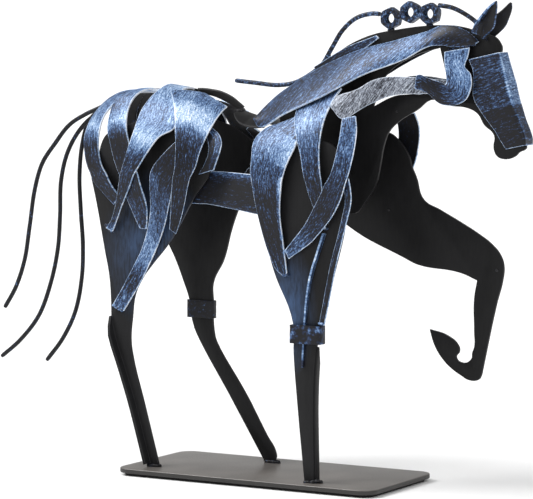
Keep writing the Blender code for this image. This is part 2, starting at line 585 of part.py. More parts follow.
# Head
for side, word in ((NEAR, "near"), (FAR, "far")):
    lower, lean = (1.1, 1.4) if side == FAR else (0, 0)
    ribbon(word + "_cheek_curl", [
        [(113, 217.2, 5.3), (112.5, 213.1, 6), (111.3, 208, 7), (114.7, 204.5, 7.5),
         (115.7, 200.6, 8), (115.2, 196.3, 8.6), (112.8, 191.8, 9), (108, 189.4, 9.4),
         (100, 189.7, 10), (92, 195.5, 10.5), (86, 197, 10.8)],
        [(99.5, 215, 5.3), (99.8, 211, 6), (101, 206, 7), (102, 200.5, 8), (102, 199.6, 8.6),
         (101.4, 198.8, 9), (99.5, 200.2, 9.4), (96, 201.3 - lower, 9.8),
         (91, 203 - 2 * lower, 10.2), (88.5, 204 - 3 * lower, 10.5), (87, 203.5 - 3 * lower, 10.8)]], side, long=15, bow=0.5)
    ribbon(word + "_ear", [
        [(114.6, 224.8, 6.8), (116, 227.4, 7.5), (119.8, 231.8, 8), (123.7 + lean, 236.4 - lean /
         2, 7.6), (127.6 + lean, 239.8 - lean / 2, 7)],
        [(119.4, 222.8, 5.6), (119.4, 227, 5), (120.6, 231.2, 5), (124 + lean, 235.6 - lean / 2,
         6), (127.9 + lean, 239.8 - lean / 2, 7)],
        [(121, 222.3, 6), (126.5, 227.4, 6.5), (127.6 + lean / 2, 231.6, 7), (128.4 + lean, 236.9
         - lean / 2, 7), (128.3 + lean, 239.5 - lean / 2, 7)]], side, long=7)

HALF_FACE = FACE_WIDTH / 2 / MM
side_edge = [(112.6, 211.5), (114.6, 206.5), (115.2, 201), (114.8, 196.6), (115.4, 192.3), (118.6, 187),
             (122.4, 182.2), (126.8, 176.9), (129.6, 172.6), (132.8, 168.2)]
front_fold = [(128.4, 215), (130, 209.5), (132.8, 201.5), (135.4, 192), (138.9, 182.2),
              (141.3, 176), (142.2, 173), (142.2, 170.2)]
face = []
for i in range(13):
    rear = spline([Vector((x, 0, z)) for x, z in side_edge], i / 12)
    fold_point = spline([Vector((x, 0, z)) for x, z in front_fold], i / 12)
    near = [rear, rear.lerp(fold_point, 0.5), fold_point]
    face.append([at(spot.x, spot.z, -HALF_FACE) for spot in near]
                + [at(spot.x, spot.z, HALF_FACE) for spot in reversed(near)])
sheet("face_wrap", face)

# Mane: three nuts side by side over the crest, a rod up to the first, one from the last
FLATS = NUT_FLATS / MM
CREST = 229.6 + FLATS / 2
NUT_SPOTS = [(78 - 1.125 * FLATS, CREST - 0.3125 * FLATS), (78, CREST),
             (78 + 1.125 * FLATS, CREST - 0.083 * FLATS)]
(first_x, first_z), _, (last_x, last_z) = NUT_SPOTS
rod("mane_rod_rear", [(-22.6, 199.5), (-11.2, 198.5), (2.3, 197.5), (11.9, 198.8), (19.6, 202.3),
 (27.9, 208.1), (33.3, 216.1), (39.8, 225.5), (47.3, 231.4),
                      (first_x - 1.08 * FLATS, first_z + 0.24 * FLATS),
                      (first_x - 0.625 * FLATS, first_z + 0.21 * FLATS)], 0.0, BLUE)
rod("mane_rod_front", [(last_x + 0.47 * FLATS, last_z + 0.44 * FLATS), (100.7, 236.6),
                       (107.2, 233.8), (113.2, 230), (117, 226)], 0.0, BLUE)
for count, (x, z) in enumerate(NUT_SPOTS):
    nut("mane_nut_%d" % (count + 1), at(x, z), (0.1, -0.1, 0.15)[count])

# Tail: three rods from the dock
TAIL_SPACING = 1.3 * ROD_DIAMETER
rod("tail_rod_upper", [(-93, 190), (-102, 185.2), (-112.8, 180.8), (-123.3, 174.9), (-132.5,
 164.9), (-140.7, 154.3), (-145.4, 141.4), (-149.3, 119.8), (-152.7, 101.9),
                       (-158.4, 87.3), (-165.7, 75.9)], -TAIL_SPACING)
rod("tail_rod_middle", [(-95, 189), (-105.2, 182.6), (-113.8, 177), (-121.7, 168.5), (-127.5, 157.9), (-130.9, 144.3), (-131.6, 126.6), (-133.1, 108.9),
                        (-137.7, 90.5), (-145.6, 72.3), (-158.1, 58.1), (-170.1, 48.7)], 0.0)
rod("tail_rod_lower", [(-97, 187), (-109.4, 182), (-115.3, 176), (-119, 165.3), (-121, 148.7),
 (-120.3, 129), (-119.1, 111.4), (-119.8, 94.3), (-124.1, 75.3),
                       (-132.2, 60.4), (-142.7, 47.9)], TAIL_SPACING)

# Cuffs round the near fore leg and the far hind leg
cuff("near_fore_cuff", 25.6, 44, 70, -FORE_STANCE + CUFF_REACH - FORE_CUFF_DEPTH / 2,
     FORE_CUFF_DEPTH)
cuff("far_hind_cuff", -64.2, -47.3, 74, HIND_STANCE, HIND_CUFF_DEPTH)

# A narrow strip standing on edge down the front of the near fore leg, through the cuff
FIN_FOOT = (FORE_STANCE + PLATE / 2 + GAP) / MM
ROOM = (FORE_CUFF_DEPTH - CUFF_REACH - SHEET - PLATE / 2 - 2 * GAP) / MM
FIN_LINE = [(45.3, 125.5, 2.0), (42.2, 116.5, 2.0), (38.1, 104.6, 1.85), (35.4, 92.8, 1.35),
            (33.9, 79.4, 0.9), (32.6, 58, 0.8)]
ribbon("near_fore_fin", [
    [(x, z, FIN_FOOT) for x, z, _ in FIN_LINE],
    [(x, z, FIN_FOOT + share * ROOM) for x, z, share in FIN_LINE]],
       long=10, across=1, spread=1.0)
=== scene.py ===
"""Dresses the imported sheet-metal horse: brushed strips, satin plates, rods, nuts and welds."""

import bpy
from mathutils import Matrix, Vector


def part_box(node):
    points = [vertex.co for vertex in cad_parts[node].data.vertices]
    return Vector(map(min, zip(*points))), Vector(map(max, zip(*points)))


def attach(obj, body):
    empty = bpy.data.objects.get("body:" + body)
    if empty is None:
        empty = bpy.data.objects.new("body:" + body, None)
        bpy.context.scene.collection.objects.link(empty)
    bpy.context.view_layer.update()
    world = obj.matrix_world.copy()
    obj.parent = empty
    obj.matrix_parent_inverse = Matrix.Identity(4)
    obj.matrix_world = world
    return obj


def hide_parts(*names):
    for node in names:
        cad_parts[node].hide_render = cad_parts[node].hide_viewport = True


bl_info = {
    "name": "Sheet-metal horse",
    "version": (1, 0, 0),
    "blender": (4, 5, 0),
    "location": "3D View > Sidebar > Horse",
    "description": "Strips, plates, rods, nuts and welds of a horse on a base plate",
    "category": "Object",
}

from math import acos, cos, pi, radians, sin

import bmesh
import bpy
from bpy.props import FloatProperty, FloatVectorProperty, IntProperty, PointerProperty
from mathutils import Matrix, Vector, noise

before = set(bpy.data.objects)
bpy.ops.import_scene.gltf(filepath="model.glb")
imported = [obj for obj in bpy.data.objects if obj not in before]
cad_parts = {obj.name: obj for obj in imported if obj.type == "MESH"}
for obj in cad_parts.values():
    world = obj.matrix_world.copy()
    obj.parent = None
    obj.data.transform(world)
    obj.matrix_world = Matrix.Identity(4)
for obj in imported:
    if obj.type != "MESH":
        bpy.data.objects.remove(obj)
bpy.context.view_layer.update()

NEAR, FAR = -1, 1
SIDES = ((NEAR, "near"), (FAR, "far"))
BASE_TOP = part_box("base_plate")[1].z
FIGURE_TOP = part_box("near_ear")[1].z
GAP = 0.0003
LAYER = 0.0014
# The figure is drawn in millimetres over the top of the base.
MM = 0.001


# ---------------------------------------------------------------- settings

class HorseSizes(bpy.types.PropertyGroup):
    sheet: FloatProperty(name="Strip thickness", description="Thickness of the brushed strips",
                         default=0.0010, unit="LENGTH")
    plate: FloatProperty(name="Plate thickness", description="Thickness of the flat plates",
                         default=0.0015, unit="LENGTH")
    edge: FloatProperty(name="Edge round", description="Rounding of the cut edges",
                        default=0.00018, unit="LENGTH")
    rod: FloatProperty(name="Rod diameter", description="Diameter of the mane and tail rods",
                       default=0.0023, unit="LENGTH")
    nut_flats: FloatProperty(name="Nut width", description="Width of a nut across its flats",
                             default=0.0096, unit="LENGTH")
    nut_bore: FloatProperty(name="Nut bore", description="Diameter of a nut's threaded hole",
                            default=0.0056, unit="LENGTH")
    nut_thickness: FloatProperty(name="Nut thickness", description="Length of a nut's bore",
                                 default=0.0050, unit="LENGTH")
    waviness: FloatProperty(name="Waviness", description="How far hand-cut sheets stray",
                            default=0.00022, unit="LENGTH")
    rows: IntProperty(name="Rows", description="Rows of faces along a strip", default=56)


class HorseColours(bpy.types.PropertyGroup):
    black: FloatVectorProperty(name="Black", description="Lacquer under the brushed paint",
                               subtype="COLOR", default=(0.0085, 0.0085, 0.0105))
    navy: FloatVectorProperty(name="Navy", description="Thin coat of the brushed paint",
                              subtype="COLOR", default=(0.016, 0.026, 0.060))
    blue: FloatVectorProperty(name="Blue", description="Full coat of the brushed paint",
                              subtype="COLOR", default=(0.060, 0.118, 0.25))
    light: FloatVectorProperty(name="Light blue", description="Dry-brushed highlights",
                               subtype="COLOR", default=(0.20, 0.31, 0.50))
    pale: FloatVectorProperty(name="Pale blue", description="Heavy dry-brushed strokes",
                              subtype="COLOR", default=(0.47, 0.60, 0.78))
    # Painted reflection: this near-white stands in for the soft reflection bands of the lights on the curved strips; it
    # is not paint rubbed white.
    painted_reflection: FloatVectorProperty(name="Haze", description="Paint rubbed nearly white",
                              subtype="COLOR", default=(0.74, 0.78, 0.86))
    satin: FloatVectorProperty(name="Satin black", description="Legs, neck plate and tail",
                               subtype="COLOR", default=(0.0065, 0.0065, 0.007))
    # Painted reflection: this grey is lifted from the base's black powder coat to stand for the grazing reflection on
    # its top.
    base: FloatVectorProperty(name="Base black", description="Powder coat of the base",
                              subtype="COLOR", default=(0.118, 0.108, 0.100))
    rubber: FloatVectorProperty(name="Rubber", description="Pad under the base",
                                subtype="COLOR", default=(0.008, 0.008, 0.008))


class StudioSettings(bpy.types.PropertyGroup):
    floor: FloatVectorProperty(name="Floor", description="Colour of the floor and backdrop",
                               subtype="COLOR", default=(0.92, 0.92, 0.92))
    lens: FloatProperty(name="Lens", description="Focal length in millimetres", default=196.36)
    key: FloatProperty(name="Key light", description="Strength of the wide light, upper left",
                       default=3.2)
    fill: FloatProperty(name="Fill light", description="Strength of the wide light, right",
                        default=1.0)
    sky: FloatProperty(name="Surround", description="Strength of the even light all round",
                       default=0.42)


# ---------------------------------------------------------------- materials

class Shader:
    """A material's node tree, built a node at a time."""

    def __init__(self, name, roughness=0.45, metallic=0.0, coat=0.0, coat_roughness=0.3,
                 specular=0.5):
        self.material = bpy.data.materials.new(name)
        self.material.use_nodes = True
        self.tree = self.material.node_tree
        self.surface = self.tree.nodes["Principled BSDF"]
        for key, value in (("Roughness", roughness), ("Metallic", metallic),
                           ("Coat Weight", coat), ("Coat Roughness", coat_roughness),
                           ("Specular IOR Level", specular)):
            self.surface.inputs[key].default_value = value

    def add(self, kind, inputs, output=0, **settings):
        node = self.tree.nodes.new("ShaderNode" + kind)
        for key, value in settings.items():
            setattr(node, key, value)
        for key, value in inputs.items():
            self.put(node.inputs[key], value)
        return node.outputs[output]

    def put(self, socket, value):
        if isinstance(value, bpy.types.NodeSocket):
            self.tree.links.new(value, socket)
        else:
            socket.default_value = value

    def math(self, operation, a, b=0.0, c=0.0, clamp=False):
        return self.add("Math", {0: a, 1: b, 2: c}, operation=operation, use_clamp=clamp)

    def noise(self, where, scale, detail=3.0, roughness=0.6, stretch=None):
        if stretch:
            where = self.add("Mapping", {"Vector": where, "Scale": stretch})
        return self.add("TexNoise", {"Vector": where, "Scale": scale, "Detail": detail,
                                     "Roughness": roughness})

    def ramp(self, factor, stops):
        node = self.tree.nodes.new("ShaderNodeValToRGB")
        self.put(node.inputs[0], factor)
        line = node.color_ramp
        while len(line.elements) < len(stops):
            line.elements.new(1.0)
        for element, (place, colour) in zip(line.elements, stops):
            element.position = place
            element.color = (*colour, 1.0)
        return node.outputs[0]

    def spread(self, value, low, high, first=0.0, last=1.0):
        return self.add("MapRange", {"Value": value, "From Min": low, "From Max": high,
                                     "To Min": first, "To Max": last})

    def finish(self, colour=None, roughness=None, height=None, distance=0.0001):
        if colour is not None:
            self.put(self.surface.inputs["Base Color"], colour)
        if roughness is not None:
            self.put(self.surface.inputs["Roughness"], roughness)
        if height is not None:
            bump = self.add("Bump", {"Height": height, "Distance": distance, "Strength": 1.0})
            self.put(self.surface.inputs["Normal"], bump)
        return self.material


MATERIALS = {}


def brushed_paint(shader, amount, strokes, grit):
    """Blue paint dragged over black lacquer: amount is how much of it lies there, and where it runs highest the colour
    reaches the near-white painted reflection.
    """
    colours = bpy.context.scene.horse_colours
    drag = shader.spread(amount, 0.1, 0.9, 2.5, 1.2)
    streaks = shader.math("MULTIPLY", shader.math("SUBTRACT", strokes, 0.5), drag)
    speckle = shader.math("MULTIPLY_ADD", grit, 0.8, -0.4)
    coat = shader.math("ADD", shader.math("ADD", amount, streaks), speckle, clamp=True)
    # The last stop of this ramp is a painted reflection of the lights, not a colour of the paint.
    return coat, shader.ramp(coat, (
        (0.12, colours.black), (0.32, colours.navy), (0.50, colours.blue),
        (0.68, colours.light), (0.86, colours.pale), (1.0, colours.painted_reflection)))


def strip_paint(name, lift=0.0, share=1.0, slant=0.0, grey=1.0):
    """Brushed paint that follows a strip: 'grain' runs along it, and the second UV layer holds the coat, painted
    reflection bands included, and the distance to the edge.
    """
    shader = Shader(name, metallic=0.1, coat=0.06, coat_roughness=0.3, specular=0.22)
    grain = shader.add("UVMap", {}, uv_map="grain")
    if slant:
        grain = shader.add("Mapping", {"Vector": grain, "Rotation": (0.0, 0.0, slant)})
    paint_and_sheen = shader.add("UVMap", {}, uv_map="paint_and_sheen")
    split = shader.tree.nodes.new("ShaderNodeSeparateXYZ")
    shader.put(split.inputs[0], paint_and_sheen)
    long = shader.noise(grain, 1.0, 3.0, 0.55, (150.0, 900.0, 1.0))
    fine = shader.noise(grain, 1.0, 3.0, 0.65, (420.0, 1500.0, 1.0))
    broad = shader.noise(grain, 1.0, 2.0, 0.5, (40.0, 110.0, 1.0))
    grit = shader.noise(grain, 1250.0, 2.0, 0.6)
    strokes = shader.math("ADD", shader.math("MULTIPLY", long, 0.36),
                          shader.math("MULTIPLY", fine, 0.64))
    patch = shader.math("MULTIPLY_ADD", broad, 0.44, -0.22)
    amount = shader.math("MULTIPLY_ADD", split.outputs[0], share, lift)
    # Lighter coat within 0.6 mm of the cut edges: dry-brush caught on the edges, and partly a painted highlight of the
    # edges catching the light.
    rim = shader.spread(split.outputs[1], 0.0, 0.0006, 0.34, 0.0)
    amount = shader.math("ADD", shader.math("ADD", amount, patch), rim)
    coat, colour = brushed_paint(shader, amount, strokes, grit)
    if grey < 1:
        colour = shader.add("HueSaturation", {"Color": colour, "Saturation": grey})
    rough = shader.add("Mix", {"Factor": fine, 2: 0.28, 3: 0.5}, data_type="FLOAT")
    relief = shader.math("MULTIPLY_ADD", grit, 0.35, strokes)
    return shader.finish(colour, rough, relief, 0.00006)


def dabbed_paint(name, amount, scale=1.0):
    """Brushed paint on small pieces, with no run of its own."""
    shader = Shader(name, metallic=0.1, coat=0.06, coat_roughness=0.32, specular=0.22)
    place = shader.add("TexCoord", {}, "Object")
    strokes = shader.noise(place, 760.0 * scale, 4.0, 0.65)
    broad = shader.noise(place, 120.0 * scale, 2.0, 0.6)
    grit = shader.noise(place, 2400.0 * scale, 2.0, 0.6)
    patch = shader.math("MULTIPLY_ADD", broad, 0.7, amount - 0.35)
    coat, colour = brushed_paint(shader, patch, strokes, grit)
    rough = shader.add("Mix", {"Factor": strokes, 2: 0.3, 3: 0.55}, data_type="FLOAT")
    return shader.finish(colour, rough, strokes, 0.00006)


def satin_black(name, lift=0.0, veil=0.0, spot=(0.0, 0.0, 0.0), reach=(1.0, 1.0, 1.0)):
    """Satin lacquer with a faint drag of the brush, and a blue veil of overspray at spot; lift makes a lighter copy of
    the lacquer, which on the near legs is painted light and on the edges partly a painted highlight.
    """
    colours = bpy.context.scene.horse_colours
    shader = Shader(name, roughness=0.42, specular=0.16)
    place = shader.add("TexCoord", {}, "Object")
    drag = shader.noise(place, 1.0, 4.0, 0.6, (900.0, 900.0, 140.0))
    cloud = shader.noise(place, 38.0, 3.0, 0.5)
    grain = shader.noise(place, 2600.0, 2.0, 0.5)
    tone = shader.math("ADD", shader.math("MULTIPLY", drag, 0.5),
                       shader.math("MULTIPLY", cloud, 0.5))
    dark = [c * (0.75 + lift) for c in colours.satin]
    light = [c * (1.7 + lift) for c in colours.satin]
    colour = shader.ramp(tone, ((0.3, dark), (0.7, light)))
    if veil:
        away = shader.add("VectorMath", {0: place, 1: spot}, operation="SUBTRACT")
        away = shader.add("VectorMath", {0: away, 1: [1 / r for r in reach]}, operation="MULTIPLY")
        away = shader.add("VectorMath", {0: away}, 1, operation="LENGTH")
        near = shader.spread(away, 0.15, 1.0, veil, 0.0)
        film = shader.math("MULTIPLY", near, shader.spread(tone, 0.38, 0.6, 0.1, 1.0))
        colour = shader.add("Mix", {"Factor": film, 6: colour, 7: (*colours.blue, 1.0)}, 2,
                            data_type="RGBA")
    rough = shader.spread(tone, 0.3, 0.7, 0.36, 0.5)
    return shader.finish(colour, rough, shader.math("ADD", grain, drag), 0.000025)


def powder_coat(name, colour, roughness, grain_size, relief):
    shader = Shader(name, roughness=roughness, specular=0.5)
    place = shader.add("TexCoord", {}, "Object")
    peel = shader.noise(place, grain_size, 3.0, 0.6)
    cloud = shader.noise(place, 45.0, 3.0, 0.5)
    tone = shader.ramp(cloud, ((0.3, [c * 0.82 for c in colour]), (0.7, [c * 1.2 for c in colour])))
    rough = shader.spread(peel, 0.3, 0.7, roughness - 0.06, roughness + 0.08)
    return shader.finish(tone, rough, peel, relief)


def make_materials():
    colours = bpy.context.scene.horse_colours
    MATERIALS.update(
        strip=strip_paint("brushed_blue_strip"),
        slant=strip_paint("brushed_blue_slanted", slant=0.62),
        scratched=strip_paint("brushed_blue_scratched", slant=0.95, grey=0.35),
        # The rim faces carry a lighter coat: dry-brush paint on the edges, and partly a painted highlight.
        rim=strip_paint("brushed_blue_edge", 0.45, 0.4),
        dark_rim=strip_paint("brushed_blue_dark_edge", 0.12, 0.5),
        inner=strip_paint("brushed_blue_inside", -0.14, 0.15),
        dabbed=dabbed_paint("brushed_blue_dabbed", 0.40),
        thin=dabbed_paint("brushed_blue_thin", 0.24),
        navy=dabbed_paint("brushed_blue_navy", 0.12),
        cuff=dabbed_paint("brushed_navy_cuff", 0.2, 0.3),
        across=strip_paint("brushed_blue_across", slant=1.5),
        faint=dabbed_paint("satin_black_flecked", -0.08),
        satin=satin_black("satin_black"),
        # The near hind and near fore plates are lighter copies of the satin black (lift 0.5 and 0.4): painted light on
        # the near legs; the blue veil on them is overspray.
        hind=satin_black("satin_black_hind", 0.5, 0.62, (-0.058, -0.02, 0.116),
                         (0.034, 1.0, 0.044)),
        fore=satin_black("satin_black_fore", 0.4, 0.62, (0.024, -0.03, 0.09),
                         (0.017, 1.0, 0.034)),
        # The bevels of the plates and some welds get the satin black lifted far lighter: partly worn lacquer, partly a
        # painted highlight of edges catching the light.
        worn=satin_black("satin_black_edge", 3.4),
        # Lit and shaded copies of one black powder coat: the grey top is a painted reflection, the sides a copy at 0.16
        # times.
        base=powder_coat("base_black", colours.base, 0.34, 1500.0, 0.00001),
        base_edge=powder_coat("base_black_edge", [c * 0.16 for c in colours.base], 0.45, 1500.0,
                              0.00003),
        rubber=powder_coat("pad_rubber", colours.rubber, 0.85, 2200.0, 0.00006))


# ---------------------------------------------------------------- shaping

def deselect():
    bpy.ops.object.select_all(action="DESELECT")
    bpy.context.view_layer.objects.active = None


def choose(piece):
    deselect()
    piece.select_set(True)
    bpy.context.view_layer.objects.active = piece


def apply_modifier(piece, kind, **settings):
    choose(piece)
    made = piece.modifiers.new(kind.title(), kind)
    for key, value in settings.items():
        setattr(made, key, value)
    bpy.ops.object.modifier_apply(modifier=made.name)


def settle(piece):
    """The object goes to the origin and its place goes into its mesh."""
    choose(piece)
    bpy.ops.object.transform_apply(location=True, rotation=True, scale=True)


def hand_over(piece, slot, *nodes):
    """The finished piece rides with the figure and stands for its nodes."""
    settle(piece)
    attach(piece, "root")
    if nodes:
        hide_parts(*nodes)
    return piece


def round_uprights(piece, radius, segments):
    """Rounds the upright edges of a box that stands in edit mode."""
    bpy.ops.mesh.select_mode(type="EDGE")
    bpy.ops.mesh.select_all(action="DESELECT")
    form = bmesh.from_edit_mesh(piece.data)
    for edge in form.edges:
        low, high = (v.co for v in edge.verts)
        edge.select = abs(low.z - high.z) > (low - high).length * 0.9
    bmesh.update_edit_mesh(piece.data)
    bpy.ops.mesh.bevel(offset=radius, segments=segments, profile=0.5, affect="EDGES")


def smooth(piece, angle=32):
    choose(piece)
    bpy.ops.object.shade_smooth_by_angle(angle=radians(angle))


def at(x, z, y=0.0):
    return Vector((x * MM, y * MM, BASE_TOP + z * MM))


def spline(points, t):
    """A smooth line through the points, t from 0 to 1 along their chords."""
    chords = [0.0]
    for a, b in zip(points, points[1:]):
        chords.append(chords[-1] + max(1e-9, (b - a).length))
    goal = t * chords[-1]
    i = 0
    while i < len(points) - 2 and chords[i + 1] < goal:
        i += 1
    u = (goal - chords[i]) / (chords[i + 1] - chords[i])
    b, c = points[i], points[i + 1]
    before = b - points[i - 1] if i else c - b
    after = points[i + 2] - c if i + 2 < len(points) else c - b
    span = (c - b).length
    head = (before.normalized() + (c - b).normalized()) * 0.5 * span
    tail = ((c - b).normalized() + after.normalized()) * 0.5 * span
    return ((2 * u**3 - 3 * u**2 + 1) * b + (u**3 - 2 * u**2 + u) * head
            + (3 * u**2 - 2 * u**3) * c + (u**3 - u**2) * tail)


def profile(x, knots):
    """Smooth height over x through (x, height) knots, level past both ends."""
    x = min(max(x, knots[0][0]), knots[-1][0])
    i = 0
    while i < len(knots) - 2 and knots[i + 1][0] < x:
        i += 1
    (x0, y0), (x1, y1) = knots[i], knots[i + 1]
    back, on = knots[max(i - 1, 0)], knots[min(i + 2, len(knots) - 1)]
    span = x1 - x0
    head = (y1 - back[1]) / (x1 - back[0]) * span
    tail = (on[1] - y0) / (on[0] - x0) * span
    u = (x - x0) / span
    return ((2 * u**3 - 3 * u**2 + 1) * y0 + (u**3 - 2 * u**2 + u) * head
            + (3 * u**2 - 2 * u**3) * y1 + (u**3 - u**2) * tail)


class Body:
    """The rounded half barrel that strips lie on: ridge and half width over x, the height
    of the widest line, and the upright side at foot below the knee."""

    def __init__(self, ridge, girth, middle, foot, knee):
        self.ridge, self.girth = ridge, girth
        self.middle, self.foot, self.knee = middle, foot, knee

    def turn(self, x, z):
        if z < self.middle:
            return 1 + (self.middle - z) / self.middle
        rise = (z - self.middle) / (profile(x, self.ridge) - self.middle)
        return acos(min(1.0, rise)) * 2 / pi

    def skin(self, x, turn):
        side, turn = (NEAR if turn < 0 else FAR), abs(turn)
        wide = profile(x, self.girth)
        if turn <= 1:
            y = wide * sin(turn * pi / 2)
            z = self.middle + (profile(x, self.ridge) - self.middle) * cos(turn * pi / 2)
        else:
            z = self.middle - (turn - 1) * self.middle
            fall = min(1.0, max(0.0, (self.middle - z) / (self.middle - self.knee)))
            y = wide + (self.foot - wide) * fall * fall * (3 - 2 * fall)
        return Vector((x, side * y, z))

    def point(self, x, turn, lift):
        along = self.skin(x + 1, turn) - self.skin(x - 1, turn)
        round_it = self.skin(x, turn + 0.02) - self.skin(x, turn - 0.02)
        out = along.cross(round_it).normalized()
        here = self.skin(x, turn)
        if out.dot(Vector((0, here.y, max(0.0, here.z - self.middle)))) < 0:
            out = -out
        return here + out * lift


RUMP = Body(
    ridge=[(-116, 172), (-108, 181), (-100, 189.3), (-92, 193.9), (-84, 196), (-74, 196.1),
    (-65, 195), (-55, 193.7), (-45, 192), (-25, 186.5), (-10, 182)],
    girth=[(-116, 15), (-104, 20), (-60, 29), (-20, 28), (0, 27)],
    middle=151, foot=21.45, knee=108)
SHOULDER = Body(
    ridge=[(-10, 180), (0, 183), (14, 187), (38, 195.5), (60, 205), (80, 211)],
    girth=[(-5, 27), (5, 29.5), (25, 31), (60, 31), (75, 29)],
    middle=150, foot=27.55, knee=95)


def level(marks, t):
    """A value read off (share, value) marks, straight between them."""
    for (a, low), (b, high) in zip(marks, marks[1:]):
        if t <= b:
            return low + (high - low) * max(0.0, t - a) / max(1e-6, b - a)
    return marks[-1][1]


SEEDS = {}


def sheet(name, spot, coat, slot, nodes, columns=8, rows=None, lean=0.0, over=False,
          thickness=None, skins=("strip", "inner", "rim")):
    """A sheet through spot(u, v): a grid bent to shape, given its thickness and round edges.

    coat is the paint along it as (share, amount) marks, its high marks partly painted reflection bands of the lights,
    and lean how much more of it there is on the v = 1 side.
    """
    sizes = bpy.context.scene.horse_sizes
    rows = rows or sizes.rows
    thickness = thickness or sizes.sheet
    seed = SEEDS.setdefault(name, len(SEEDS) + 1)
    deselect()
    bpy.ops.mesh.primitive_grid_add(x_subdivisions=rows, y_subdivisions=columns, size=2.0)
    piece = bpy.context.object
    piece.name = name
    mesh = piece.data
    cells = {}
    for vert in mesh.vertices:
        i, j = round((vert.co.x + 1) / 2 * rows), round((vert.co.y + 1) / 2 * columns)
        cells[i, j] = vert.index
    places = {key: spot(key[0] / rows, key[1] / columns) for key in cells}
    stray = Vector((seed * 3.7, seed * 1.9, 0))
    for key, index in cells.items():
        wave = noise.noise(places[key] * 90 + stray) + 0.5 * noise.noise(places[key] * 230 + stray)
        i, j = key
        along = places[min(i + 1, rows), j] - places[max(i - 1, 0), j]
        across = places[i, min(j + 1, columns)] - places[i, max(j - 1, 0)]
        out = along.cross(across)
        out = out.normalized() if out.length > 1e-12 else Vector((0, 0, 0))
        rim = j in (0, columns)
        shift = out * wave * sizes.waviness * 0.6
        if rim and across.length > 1e-9 and 0 < i < rows:
            jag = noise.noise(places[key] * 160 - stray)
            shift += across.normalized() * jag * sizes.waviness * 0.5
        mesh.vertices[index].co = places[key] + shift
    half = columns // 2
    run = [0.0]
    for i in range(rows):
        run.append(run[-1] + (places[i + 1, half] - places[i, half]).length)
    grain, paint_and_sheen = {}, {}
    for (i, j), index in cells.items():
        middle = sum((places[i, k + 1] - places[i, k]).length for k in range(half))
        off = sum((places[i, k + 1] - places[i, k]).length for k in range(j)) - middle
        wide = sum((places[i, k + 1] - places[i, k]).length for k in range(columns))
        share = run[i] / run[-1]
        if over:
            share = abs(2 * share - 1)
        lip = min(middle + off, wide - middle - off, run[i], run[-1] - run[i])
        grain[index] = (run[i] + seed * 0.173, off + seed * 0.031)
        # The stored coat is dry-brushed paint and, where it runs high, painted reflection bands.
        amount = coat(share, j / columns) if callable(coat) else level(coat, share)
        paint_and_sheen[index] = (amount + lean * (j / columns - 0.5), lip)
    for layer, values in (("grain", grain), ("paint_and_sheen", paint_and_sheen)):
        drawn = mesh.uv_layers.new(name=layer)
        for loop in mesh.loops:
            drawn.data[loop.index].uv = values[loop.vertex_index]
    if "UVMap" in mesh.uv_layers:
        mesh.uv_layers.remove(mesh.uv_layers["UVMap"])
    mesh.update()
    outward = sum((f.normal.dot(Vector((0, f.center.y * 40, 0.35))) for f in mesh.polygons))
    if outward < 0:
        choose(piece)
        bpy.ops.object.mode_set(mode="EDIT")
        bpy.ops.mesh.select_all(action="SELECT")
        bpy.ops.mesh.flip_normals()
        bpy.ops.object.mode_set(mode="OBJECT")
    for skin in skins:
        mesh.materials.append(MATERIALS[skin])
    apply_modifier(piece, "SOLIDIFY", thickness=thickness, offset=0.0, use_even_offset=True,
                   material_offset=1, material_offset_rim=2)
    apply_modifier(piece, "BEVEL", width=sizes.edge, segments=2, limit_method="ANGLE",
                   angle_limit=radians(55), material=2, use_clamp_overlap=True)
    smooth(piece)
    return hand_over(piece, slot, *nodes)


def strip(name, body, lines, coat, side=NEAR, columns=8, lean=0.0, over=False, rows=None):
    """A strip laid on a body between drawn edge lines of (first layer, last layer, points)."""
    drawn = []
    for first, last, points in lines:
        turned = [Vector((x, body.turn(x, z) * 60, 0)) for x, z in points]
        if over:
            turned.insert(0, Vector((points[0][0], 0, 0)))
        drawn.append((first, last, turned))

    def spot(u, v):
        t = abs(2 * u - 1) if over else u
        way = (FAR if u > 0.5 else NEAR) if over else side
        ends = []
        for first, last, turned in drawn:
            here = spline(turned, t)
            ends.append((here.x, here.y / 60, first + (last - first) * t))
        w = v * (len(ends) - 1)
        k = min(int(w), len(ends) - 2)
        x, turn, layer = (a + (b - a) * (w - k) for a, b in zip(ends[k], ends[k + 1]))
        here = body.point(x, way * max(turn, 1e-4), 0.5 + layer * LAYER / MM)
        return at(here.x, here.z, here.y)

    return sheet(name + "_brushed", spot, coat, "brushed_blue", [name], columns,
                 rows or (112 if over else None), lean, over)


def ribbon(name, lines, coat, side=NEAR, bow=0.0, columns=8, lean=0.0, rows=None,
           skins=("strip", "inner", "rim"), slot="brushed_blue"):
    """A free sheet between drawn lines of (x, z, distance from the centre plane)."""
    drawn = [[Vector((x, y, z)) for x, z, y in line] for line in lines]

    def spot(u, v):
        ends = [spline(line, u) for line in drawn]
        w = v * (len(ends) - 1)
        k = min(int(w), len(ends) - 2)
        here = ends[k].lerp(ends[k + 1], w - k)
        return at(here.x, here.z, side * (here.y + bow * 4 * v * (1 - v)))

    return sheet(name + "_brushed", spot, coat, slot, [name], columns, rows, lean,
                 skins=skins)


